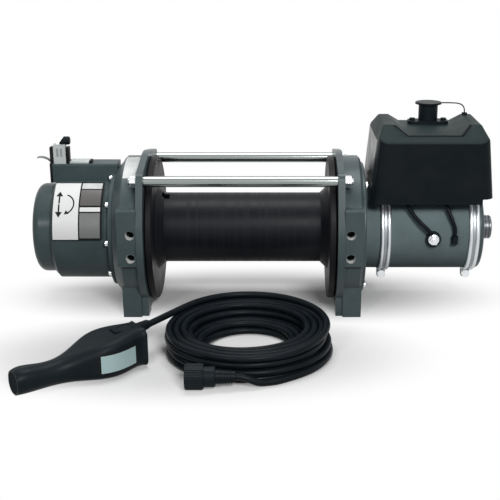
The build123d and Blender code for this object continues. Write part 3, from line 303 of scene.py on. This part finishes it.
def makeFloor(c):
    bm = bmesh.new()
    bmesh.ops.create_grid(bm, x_segments=1, y_segments=1, size=c["floor"])
    mesh = bpy.data.meshes.new("floor")
    bm.to_mesh(mesh)
    bm.free()
    floor = bpy.data.objects.new("floor", mesh)
    scene.collection.objects.link(floor)
    mat = newFinish("floorPale", (c["bounce"],) * 3, c["rough"], gloss=0.0)
    tree = mat.node_tree
    seen = seenDirectly(tree)
    tone = addNode(mat, "ShaderNodeMix", data_type="RGBA")
    tone.inputs[6].default_value = (*(c["bounce"],) * 3, 1)  # the two colours of the mix
    tone.inputs[7].default_value = (*(c["seen"],) * 3, 1)
    tree.links.new(seen, tone.inputs["Factor"])
    tree.links.new(tone.outputs[2], shaderOf(mat).inputs["Base Color"])
    least = addNode(mat, "ShaderNodeMath", operation="MINIMUM")
    for i, area in enumerate(c["shaded"]):
        tree.links.new(whiteShare(mat, area, c["white"]), least.inputs[i])
    glow = addNode(mat, "ShaderNodeEmission", Strength=1.0)
    both = addNode(mat, "ShaderNodeMath", operation="MULTIPLY")
    mix = addNode(mat, "ShaderNodeMixShader")
    tree.links.new(least.outputs[0], both.inputs[0])
    tree.links.new(seen, both.inputs[1])
    tree.links.new(both.outputs[0], mix.inputs["Fac"])
    tree.links.new(shaderOf(mat).outputs[0], mix.inputs[1])
    tree.links.new(glow.outputs[0], mix.inputs[2])
    tree.links.new(mix.outputs[0], tree.nodes["Material Output"].inputs["Surface"])
    mesh.materials.append(mat)


def makeSky(c):
    world = bpy.data.worlds.new("studio")
    scene.world = world
    world.use_nodes = True
    tree = world.node_tree
    plain = tree.nodes["Background"]
    plain.inputs["Color"].default_value = (1, 1, 1, 1)
    plain.inputs["Strength"].default_value = c["skyLight"]
    white = tree.nodes.new("ShaderNodeBackground")
    white.inputs["Color"].default_value = (1, 1, 1, 1)
    white.inputs["Strength"].default_value = 1.0
    mix = tree.nodes.new("ShaderNodeMixShader")
    tree.links.new(seenDirectly(tree), mix.inputs["Fac"])
    tree.links.new(plain.outputs[0], mix.inputs[1])
    tree.links.new(white.outputs[0], mix.inputs[2])
    tree.links.new(mix.outputs[0], tree.nodes["World Output"].inputs["Surface"])


lampSet = {
    "overhead": {"place": (0.0, 0.20, 1.5), "aim": (0.0, 0.0, 0.05), "size": (0.8, 0.5), "watts": 11},
    "front": {"place": (0.52, -1.65, 1.10), "aim": (0.2, 0.0, 0.1), "size": (0.5, 0.4), "watts": 23},
    "left": {"place": (-0.75, -1.80, 0.95), "aim": (-0.2, 0.0, 0.1), "size": (0.25, 0.35), "watts": 7},
}


def makeLamps(lamps):
    for name, c in lamps.items():
        data = bpy.data.lights.new(name, "AREA")
        data.shape = "RECTANGLE"
        data.size, data.size_y = c["size"]
        data.energy = c["watts"]
        lamp = bpy.data.objects.new(name, data)
        lamp.location = c["place"]
        way = Vector(c["aim"]) - Vector(c["place"])
        lamp.rotation_euler = way.to_track_quat("-Z", "Y").to_euler()
        scene.collection.objects.link(lamp)


makeFloor(stageSet)
makeSky(stageSet)
makeLamps(lampSet)
print("stage lit")


# tools for pieces

def addPiece(name, bm, body, finish, standsFor=(), smoothAngle=35.0, extraFinish=(),
             weigh=False):
    mesh = bpy.data.meshes.new(name)
    bmesh.ops.recalc_face_normals(bm, faces=bm.faces)
    bm.to_mesh(mesh)
    bm.free()
    for face in mesh.polygons:
        face.use_smooth = True
    mesh.set_sharp_from_angle(angle=math.radians(smoothAngle))
    piece = bpy.data.objects.new(name, mesh)
    scene.collection.objects.link(piece)
    for one in (finish, *extraFinish):
        mesh.materials.append(finishes[one])
    if weigh:  # broad faces keep their own shading beside rounded edges
        piece.modifiers.new("weigh", "WEIGHTED_NORMAL").keep_sharp = True
    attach(piece, body)
    if standsFor:
        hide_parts(*standsFor)


def bar(bm, start, end, radius, sides=40):  # round or six-sided, between two points
    start, end = Vector(start), Vector(end)
    way = end - start
    place = Matrix.Translation((start + end) / 2) @ way.to_track_quat("Z", "Y").to_matrix().to_4x4()
    bmesh.ops.create_cone(bm, cap_ends=True, cap_tris=False, segments=sides, radius1=radius, radius2=radius,
                          depth=way.length, matrix=place)


def ease(bm, width, sharp=30.0):
    edges = [e for e in bm.edges if len(e.link_faces) == 2 and e.calc_face_angle() > math.radians(sharp)]
    bmesh.ops.bevel(bm, geom=edges, offset=width, segments=2, profile=0.5, affect="EDGES",
                    clamp_overlap=True, material=-1)


weldGap = 2e-6  # corners nearer than this are one


def nodeCopy(names, flat=0.4):  # CAD triangles merged into clean faces
    bm = bmesh.new()
    for name in names:
        bm.from_mesh(nodes[name].data)
    bmesh.ops.remove_doubles(bm, verts=bm.verts, dist=weldGap)
    bmesh.ops.dissolve_limit(bm, angle_limit=math.radians(flat), verts=bm.verts, edges=bm.edges)
    return bm


def cut(bm, spot, way, outer, near=1e-6):  # along a plane, dropping what lies beyond it where outer is true
    geom = bm.verts[:] + bm.edges[:] + bm.faces[:]
    bmesh.ops.bisect_plane(bm, geom=geom, dist=near, plane_co=spot, plane_no=way, clear_outer=outer)


# castings and metal pieces with their edges eased

castSharp = 28.0  # edges sharper than this, in degrees, are eased
easedSet = {
    "gear_housing": 0.0008, "motor_flange": 0.0006, "gear_end_cap": 0.0006, "tie_rod_nuts": 0.0007,
    "flange_bolts": 0.0006, "clamp_bands": 0.0005, "clamp_bolts": 0.0005, "terminal_hardware": 0.0004,
}
for nodeName, width in easedSet.items():
    bm = nodeCopy([nodeName])
    ease(bm, width, castSharp)
    addPiece(nodeName + "Eased", bm, "winch_frame", finishOf(nodeName), [nodeName],
             weigh=True)


def paintFaces(bm, test, index=1):
    for face in bm.faces:
        if test(face.calc_center_median()):
            face.material_index = index


supportEase = 0.0011
supportSet = {"gear_side_support": -0.127, "motor_side_support": 0.127}  # X of the pad holes
padSet = {"z": (0.0816, 0.1096), "radius": 0.0064, "deepY": -0.081}
pocketSet = {"y": -0.0654, "z": 0.167, "radius": 0.0095, "fromX": -0.1195}  # bare metal round the rod's nut


def inPadHole(spot, holeX):
    inHole = any(math.hypot(spot.x - holeX, spot.z - z) < padSet["radius"] for z in padSet["z"])
    return inHole and spot.y < padSet["deepY"]


def inPocket(spot):
    away = math.hypot(spot.y - pocketSet["y"], spot.z - pocketSet["z"])
    return away < pocketSet["radius"] and spot.x < pocketSet["fromX"]


for nodeName, holeX in supportSet.items():
    bm = nodeCopy([nodeName])
    ease(bm, supportEase, castSharp)
    cut(bm, (0, padSet["deepY"], 0), (0, 1, 0), False)
    paintFaces(bm, inPocket)
    paintFaces(bm, lambda spot: inPadHole(spot, holeX), 2)
    addPiece(nodeName + "Eased", bm, "winch_frame", "slatePaint", [nodeName],
             extraFinish=["machined", "boreBare"], weigh=True)

bladeSet = {"x": -0.2316, "ease": 0.0003}
bm = nodeCopy(["clutch_end_plate"])
ease(bm, bladeSet["ease"])
paintFaces(bm, lambda spot: spot.x < bladeSet["x"])
addPiece("endPlateEased", bm, "winch_frame", "drumBlack", ["clutch_end_plate"],
         extraFinish=["bossMetal"])

bossSet = {"x": 0.2882, "radius": 0.0155, "ease": 0.0004}


def onBoss(spot):
    return spot.x > bossSet["x"] and math.hypot(spot.y, spot.z - axisHeight) < bossSet["radius"]


bm = nodeCopy(["motor_end_bell"])
ease(bm, bossSet["ease"], castSharp)
paintFaces(bm, onBoss)
addPiece("endBellEased", bm, "winch_frame", "slatePaint", ["motor_end_bell"],
         extraFinish=["bossMetal"], weigh=True)

coverSet = {"smooth": 50.0, "up": 0.40, "side": -0.75}
bm = nodeCopy(["control_box_cover"])
for face in bm.faces:
    if face.normal.z > coverSet["up"]:  # faces turned upward get a lighter grey, a painted highlight from the light above
        face.material_index = 1
    elif face.normal.x < coverSet["side"]:  # its glossier left side
        face.material_index = 2
addPiece("boxCover", bm, "winch_frame", "boxBlack", ["control_box_cover"],
         smoothAngle=coverSet["smooth"], extraFinish=["boxTop", "boxSide"], weigh=True)

saddleShadeSet = {"radius": (0.0008, 0.0008, 0.0013),
             "points": [(0.1785, -0.0370, 0.2273), (0.1925, -0.0514, 0.2175), (0.2550, -0.0514, 0.2175),
                        (0.2662, -0.0370, 0.2273)]}


def makeSaddleEdgeShade(c):  # painted shade along the front edge of the cover's saddle, drawn as thin dark bars
    bm = bmesh.new()
    for start, end, radius in zip(c["points"], c["points"][1:], c["radius"]):
        bar(bm, start, end, radius, sides=12)
    addPiece("saddleEdgeShade", bm, "winch_frame", "ink")


makeSaddleEdgeShade(saddleShadeSet)

leverSet = {"x": (-0.2222, -0.2176), "z": (0.1832, 0.1932), "y": -0.0055, "wide": 0.0026, "proud": 0.0002}


def makeLeverSlots(c):  # two pressed slots in the lever's plate, drawn as flat darker patches: painted shade in the recesses
    bm = bmesh.new()
    for x in c["x"]:
        place = Matrix.Translation((x, c["y"] - c["proud"], sum(c["z"]) / 2))
        place @= Matrix.Rotation(math.pi / 2, 4, "X")
        place @= Matrix.Diagonal((c["wide"], c["z"][1] - c["z"][0], 1, 1))
        bmesh.ops.create_grid(bm, x_segments=1, y_segments=1, size=0.5, matrix=place)
    addPiece("leverSlots", bm, "clutch", "leverDim")


makeLeverSlots(leverSet)

gripSet = {"spot": (-0.2200, 0, 0.1990), "way": (-0.81, 0, 0.59), "ease": 0.0009}


def makeGrip(c):  # sloped off on its left, as in the photograph
    bm = nodeCopy(["lever_grip"])
    cut(bm, c["spot"], c["way"], True)
    bmesh.ops.holes_fill(bm, edges=bm.edges[:])
    ease(bm, c["ease"])
    addPiece("leverGrip", bm, "clutch", "handleBlack", ["lever_grip"])


makeGrip(gripSet)

ridgeEase = 0.0004
ridgeSet = {
    "ridgeStrip": ((-0.2080, -0.0055, 0.1748), (-0.1850, 0.0120, 0.1772), "leverPlate", "zinc"),
    "ridgeStop": ((-0.1845, -0.0055, 0.1748), (-0.1815, 0.0060, 0.1785), "drumBlack", "drum_black"),
}


def makeBlock(name, low, high, finish, slot):
    size = Vector(high) - Vector(low)
    place = Matrix.Translation((Vector(low) + Vector(high)) / 2) @ Matrix.Diagonal((*size, 1))
    bm = bmesh.new()
    bmesh.ops.create_cube(bm, size=1.0, matrix=place)
    ease(bm, ridgeEase)
    addPiece(name, bm, "winch_frame", finish)


for blockName, block in ridgeSet.items():
    makeBlock(blockName, *block)

bandSet = {"x": (0.171, 0.276), "apart": 0.0038, "radius": 0.0506, "thick": 0.0026}


def makeBandRibs(c):
    bm = bmesh.new()
    for x in c["x"]:
        for side in (-1, 1):
            place = Matrix.Translation((x + side * c["apart"], 0, axisHeight + c["radius"]))
            ring = bmesh.ops.create_circle(bm, cap_ends=False, segments=12, radius=c["thick"],
                                           matrix=place @ Matrix.Rotation(math.pi / 2, 4, "X"))
            edges = list({e for v in ring["verts"] for e in v.link_edges})
            bmesh.ops.spin(bm, geom=ring["verts"] + edges, cent=(x, 0, axisHeight), axis=(1, 0, 0),
                           angle=2 * math.pi, steps=72, use_merge=True)
    addPiece("bandRibs", bm, "winch_frame", "bandZinc")


makeBandRibs(bandSet)
print("castings eased")


# labels, all bare or with plain arrows, and a pale plate that paints a highlight on the left support

plateLift = 0.0002
plateGrid = {"along": 6, "round": 30}


def curvedPlate(name, x0, x1, low, high, radius, finish):  # round the drum axis, angles up from the front
    bm = bmesh.new()
    bmesh.ops.create_grid(bm, x_segments=plateGrid["along"], y_segments=plateGrid["round"], size=0.5)
    for v in bm.verts:
        angle = math.radians(low + (v.co.y + 0.5) * (high - low))
        out = radius + plateLift
        v.co = (x0 + (v.co.x + 0.5) * (x1 - x0), -out * math.cos(angle), axisHeight + out * math.sin(angle))
    addPiece(name, bm, "winch_frame", finish)


housingRadius = 0.06655
supportRadius = 0.088
plateSet = {
    "platePale": (-0.2208, -0.1910, 3, 67, housingRadius, "labelWhite"),
    "plateBack": (-0.1910, -0.1630, 3, 69, housingRadius - plateLift / 2, "ink"),
    "plateHead": (-0.1893, -0.1655, 58.5, 67, housingRadius, "foil"),
    "plateDark": (-0.1893, -0.1655, 38, 57, housingRadius, "labelDark"),
    "plateStrip": (-0.1893, -0.1655, 31.5, 36, housingRadius, "labelWhite"),
    "plateGrey": (-0.1893, -0.1655, 4.5, 30, housingRadius, "labelGrey"),
    # a pale plate on the left support's body: painted highlight where the lamp's reflection falls
    "supportHighlightPlate": (-0.1385, -0.1212, 56, 88, supportRadius, "foil"),
}
for plateName, plate in plateSet.items():
    curvedPlate(plateName, *plate)

arrowSet = {
    "x": -0.2140, "middle": 0.0466, "half": 0.0125, "shaft": 0.0018, "shaftAt": 0.45, "shaftLong": 0.8,
    "head": 0.0046, "lift": 0.0004, "arcX": -0.2095, "arcRadius": 0.0120, "arcWide": 0.0016,
    "arcFrom": 0.0045, "tipTurn": 2.2, "tipSize": 0.7,
}


def wrapRound(bm, radius):  # x stays, y becomes the way round the drum axis
    for v in bm.verts:
        angle = v.co.y / radius
        v.co = (v.co.x, -radius * math.cos(angle), axisHeight + radius * math.sin(angle))


def makeArrows(c):  # one straight with two heads, one round with its left side open
    bm = bmesh.new()
    for side in (-1, 1):
        place = Matrix.Translation((c["x"], c["middle"] + side * c["half"] * c["shaftAt"], 0))
        place @= Matrix.Diagonal((c["shaft"], c["half"] * c["shaftLong"], 1, 1))
        bmesh.ops.create_grid(bm, x_segments=1, y_segments=8, size=0.5, matrix=place)
        turn = Matrix.Rotation(0 if side > 0 else math.pi, 4, "Z")
        place = Matrix.Translation((c["x"], c["middle"] + side * c["half"], 0)) @ turn
        bmesh.ops.create_circle(bm, cap_ends=True, segments=3, radius=c["head"], matrix=place)
    centre = Vector((c["arcX"], c["middle"], 0))
    ring = bmesh.ops.create_circle(bm, cap_ends=False, segments=36, radius=c["arcRadius"],
                                   matrix=Matrix.Translation(centre))
    edges = list({e for v in ring["verts"] for e in v.link_edges})
    arc = bmesh.ops.extrude_edge_only(bm, edges=edges)["geom"]
    for v in [g for g in arc if isinstance(g, bmesh.types.BMVert)]:
        v.co += (v.co - centre).normalized() * c["arcWide"]
    faces = [g for g in arc if isinstance(g, bmesh.types.BMFace)]
    gap = [f for f in faces if f.calc_center_median().x < c["arcX"] + c["arcFrom"]]
    bmesh.ops.delete(bm, geom=gap, context="FACES")
    low = math.sqrt(c["arcRadius"] ** 2 - c["arcFrom"] ** 2)
    tip = Matrix.Translation((c["arcX"] + c["arcFrom"], c["middle"] - low, 0))
    tip @= Matrix.Rotation(c["tipTurn"], 4, "Z")
    bmesh.ops.create_circle(bm, cap_ends=True, segments=3, radius=c["head"] * c["tipSize"], matrix=tip)
    wrapRound(bm, housingRadius + c["lift"])
    addPiece("plateArrows", bm, "winch_frame", "ink")


makeArrows(arrowSet)

remoteSet = {"place": (-0.221, -0.278, 0), "turn": 36.0}
remotePlace = Matrix.Translation(remoteSet["place"])
remotePlace @= Matrix.Rotation(math.radians(remoteSet["turn"]), 4, "Z")
patchSet = {"flat": 0.01, "near": 1e-7, "facing": (0, -1, 0), "turned": 0.5}


def patch(name, names, place, low, high, lift, finish):  # the front faces of nodes inside a box, lifted
    c = patchSet
    bm = nodeCopy(names, c["flat"])
    bm.transform(place.inverted())
    for axis in range(3):
        for value, side in ((low[axis], -1), (high[axis], 1)):
            way = Vector((0, 0, 0))
            way[axis] = side
            spot = Vector((0, 0, 0))
            spot[axis] = value
            cut(bm, spot, way, True, c["near"])
    facing = Vector(c["facing"])
    away = [f for f in bm.faces if f.normal.dot(facing) < c["turned"]]
    bmesh.ops.delete(bm, geom=away, context="FACES")
    bmesh.ops.translate(bm, vec=facing * lift, verts=bm.verts)
    bm.transform(place)
    addPiece(name, bm, "winch_frame", finish)


shells = ["remote_upper_shell", "remote_lower_shell"]
remotePlate = {
    "remotePlateRim": ((0.0815, -0.04, 0.0055), (0.1306, -0.008, 0.0311), 0.0002, "ink"),
    "remotePlate": ((0.0848, -0.04, 0.0087), (0.1273, -0.008, 0.0279), 0.0005, "labelPale"),
}
for plateName, (low, high, lift, plateFinish) in remotePlate.items():
    patch(plateName, shells, remotePlace, low, high, lift, plateFinish)

endSet = {"x": (-0.0002, 0.0006), "z": 0.0125, "radius": 0.0112}


def makeHandleEnd(c):  # a matt disc let into the handle's end
    bm = bmesh.new()
    start, end = (remotePlace @ Vector((x, 0, c["z"])) for x in c["x"])
    bar(bm, start, end, c["radius"], sides=48)
    addPiece("handleEnd", bm, "winch_frame", "handleEnd")


makeHandleEnd(endSet)
print("labels placed")


# dark hexagons in the flange bolt heads: painted shade in their sockets

socketShadeSet = {"ring": 0.0683, "first": 21.0, "count": 9, "x": -0.1600, "radius": 0.0017, "deep": 0.00015}


def makeSocketShade(c):
    bm = bmesh.new()
    for i in range(c["count"]):
        angle = math.radians(c["first"] + 360 / c["count"] * i)
        y, z = c["ring"] * math.cos(angle), axisHeight + c["ring"] * math.sin(angle)
        bar(bm, (c["x"] + c["deep"], y, z), (c["x"] - c["deep"], y, z), c["radius"], sides=6)
    addPiece("boltSocketShade", bm, "winch_frame", "ink")


makeSocketShade(socketShadeSet)
print("bolts made")


# cords

cordSet = {
    "thick": 0.0074, "length": 8.52, "gap": 0.0006, "touch": 0.0071, "floorGap": 0.0002,
    "middle": (0.0095, -0.1665), "outer": 0.092, "start": -55.0, "end": 147.0, "wholeTurns": 18,
    "runs": (5.75, 5.55, 3.45), "topRun": 0.55, "ease": 0.25, "perTurn": 36, "lead": 0.0599, "near": 0.016,
    "tail": [(0.033, -0.2585, 0.0041), (0.024, -0.2624, 0.0052), (0.016, -0.264, 0.0092),
             (0.008, -0.264, 0.0127), (0.0, -0.264, 0.013)],
}
cordTurns = cordSet["wholeTurns"] + (cordSet["end"] - cordSet["start"]) / 360


def coilEdges(c):  # turn and radius at each reversal
    runs = [*c["runs"], cordTurns - c["topRun"] - sum(c["runs"]), c["topRun"]]
    turns, radii = [0.0], [c["outer"]]
    for layer, run in enumerate(runs):
        way = 1 if layer % 2 else -1
        turns.append(turns[-1] + run)
        radii.append(radii[-1] + way * (c["thick"] + c["gap"]) * run)
    return turns, radii


def coilPlace(c, turn):  # spirals in and out, and climbs a layer at each reversal
    turns, radii = coilEdges(c)
    pitch = c["thick"] + c["gap"]
    level = sum(turn > edge for edge in turns[1:-1])
    way = 1 if level % 2 else -1
    radius = radii[level] + way * pitch * (turn - turns[level])
    for k in range(1, len(turns) - 1):
        away = turn - turns[k]
        if abs(away) < c["ease"]:
            way = 1 if k % 2 else -1
            radius = radii[k] + way * pitch * (away ** 2 / c["ease"] + c["ease"]) / 2
            climb = (away + c["ease"]) / (2 * c["ease"])
            level = k - 1 + climb ** 2 * (3 - 2 * climb)
    return radius, level


def coilPoint(c, turn):
    radius, level = coilPlace(c, turn)
    pitch = c["thick"] + c["gap"]
    rise = pitch * level
    if turn > cordTurns - c["topRun"] - c["ease"]:  # the last part turn rolls over the one beside it
        side = radius - coilPlace(c, turn - 1)[0]
        rise = pitch * len(c["runs"]) + math.sqrt(max(0.0, c["touch"] ** 2 - side ** 2))
    angle = math.radians(c["start"]) + 2 * math.pi * turn
    x = c["middle"][0] + radius * math.cos(angle)
    y = c["middle"][1] + radius * math.sin(angle)
    return Vector((x, y, c["floorGap"] + c["thick"] / 2 + rise))


def ringWay(degrees):  # along the coil at an angle round it
    angle = math.radians(degrees)
    return Vector((-math.sin(angle), math.cos(angle), 0))


def cordRoute(c):  # from the remote, down through the coil, to the plug
    way = ringWay(c["end"])
    face = coilPoint(c, cordTurns) + way * c["thick"]
    points = [face + way * c["lead"], face + way * c["lead"] * 0.5, face]
    count = int(c["perTurn"] * cordTurns)
    points += [coilPoint(c, cordTurns * (1 - i / count)) for i in range(count + 1)]
    back = ringWay(c["start"])
    first = coilPoint(c, 0) - back * c["thick"]
    return points + [first, first - back * c["near"]] + [Vector(p) for p in c["tail"]]


def splineOf(name, points, thick):
    data = bpy.data.curves.new(name, "CURVE")
    data.dimensions = "3D"
    data.bevel_depth = thick / 2
    data.bevel_resolution = 5
    data.resolution_u = 3
    data.use_fill_caps = True
    spline = data.splines.new("NURBS")
    spline.points.add(len(points) - 1)
    for spot, p in zip(spline.points, points):
        spot.co = (*p, 1)
    spline.order_u = 3
    spline.use_endpoint_u = True
    return bpy.data.objects.new(name, data)


def nurbsCord(name, points, thick, finish):
    piece = splineOf(name, points, thick)
    scene.collection.objects.link(piece)
    piece.data.materials.append(finishes[finish])
    return piece


route = cordRoute(cordSet)
remoteCord = nurbsCord("remoteCord", route, cordSet["thick"], "cordRubber")
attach(remoteCord, "winch_frame")
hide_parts("cord_coil", "cord_lead", "cord_tail")

leadSet = {
    "thick": 0.0046,
    "motorLead1": [(0.194, -0.044, 0.1415), (0.194, -0.044, 0.136), (0.2005, -0.0495, 0.126),
                   (0.206, -0.0535, 0.119), (0.2145, -0.0583, 0.1115), (0.222, -0.0583, 0.1045),
                   (0.224, -0.0583, 0.1005)],
    "motorLead2": [(0.240, -0.044, 0.1415), (0.240, -0.044, 0.137), (0.2445, -0.0490, 0.127),
                   (0.2485, -0.0527, 0.117), (0.252, -0.0545, 0.108), (0.252, -0.0545, 0.102),
                   (0.252, -0.0545, 0.098)],
}
for leadName in ("motorLead1", "motorLead2"):
    lead = nurbsCord(leadName, leadSet[leadName], leadSet["thick"], "cordRubber")
    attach(lead, "winch_frame")
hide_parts("motor_leads")

tetherSet = {
    "thick": 0.0015, "length": 0.0362,
    "points": [(0.2705, 0.030, 0.2306), (0.2705, 0.030, 0.2374), (0.2645, 0.030, 0.2419),
               (0.253, 0.030, 0.2426), (0.242, 0.030, 0.2426)],
}


def makeTether(c):  # from its screw on the box to the dust cap
    line = splineOf("tetherLine", c["points"], 0)
    path = [v.co.copy() for v in bpy.data.meshes.new_from_object(line).vertices]
    tube = splineOf("tetherTube", c["points"], c["thick"])
    mesh = bpy.data.meshes.new_from_object(tube)
    for spare in (line, tube):
        bpy.data.objects.remove(spare)
    piece = bpy.data.objects.new("capTether", mesh)
    scene.collection.objects.link(piece)
    mesh.materials.clear()
    mesh.materials.append(finishes["cordRubber"])
    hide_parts("cap_tether")
    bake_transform(piece)


makeTether(tetherSet)
print("cords laid")


# ribs on the plug, its boot and the strain relief

plugSet = {"x": (-0.0495, -0.0335), "y": -0.264, "z": 0.013, "radius": 0.0127, "rib": 0.0007, "count": 32,
           "floorGap": 0.001}
bootSet = {"x": (-0.0165, -0.0135, -0.0105, -0.0075, -0.0045), "wide": 0.0015, "length": 0.020,
           "radius": (0.0076, 0.0062), "proud": 0.0005, "ease": 0.0004}
reliefSet = {"root": (-0.10782, -0.19202, 0.0359), "length": 0.018, "wide": 0.0015,
             "radius": (0.0058, 0.0044), "count": 5, "first": 0.8, "proud": 0.0005, "ease": 0.0004}


def makePlugRibs(c):
    bm = bmesh.new()
    for i in range(c["count"]):
        angle = 2 * math.pi * i / c["count"]
        y, z = c["y"] + c["radius"] * math.cos(angle), c["z"] + c["radius"] * math.sin(angle)
        if z > c["floorGap"]:
            bar(bm, (c["x"][0], y, z), (c["x"][1], y, z), c["rib"], sides=8)
    addPiece("plugRibs", bm, "winch_frame", "handleBlack")


def ringRadius(c, share):  # rings stand proud of a cone
    return c["radius"][0] + (c["radius"][1] - c["radius"][0]) * share + c["proud"]


def makeBootRibs(c, y, z):
    bm = bmesh.new()
    for x in c["x"]:
        bar(bm, (x, y, z), (x + c["wide"], y, z), ringRadius(c, (x + c["length"]) / c["length"]))
    ease(bm, c["ease"])
    addPiece("plugBootRibs", bm, "winch_frame", "cordRubber")


def makeReliefRibs(c):
    bm = bmesh.new()
    way = -ringWay(cordSet["end"])
    for i in range(c["count"]):
        share = (i + c["first"]) / (c["count"] + c["first"])
        at = Vector(c["root"]) + way * c["length"] * share
        bar(bm, at, at + way * c["wide"], ringRadius(c, share))
    ease(bm, c["ease"])
    addPiece("reliefRibs", bm, "winch_frame", "cordRubber")


makePlugRibs(plugSet)
makeBootRibs(bootSet, plugSet["y"], plugSet["z"])
makeReliefRibs(reliefSet)
print("ribs made")
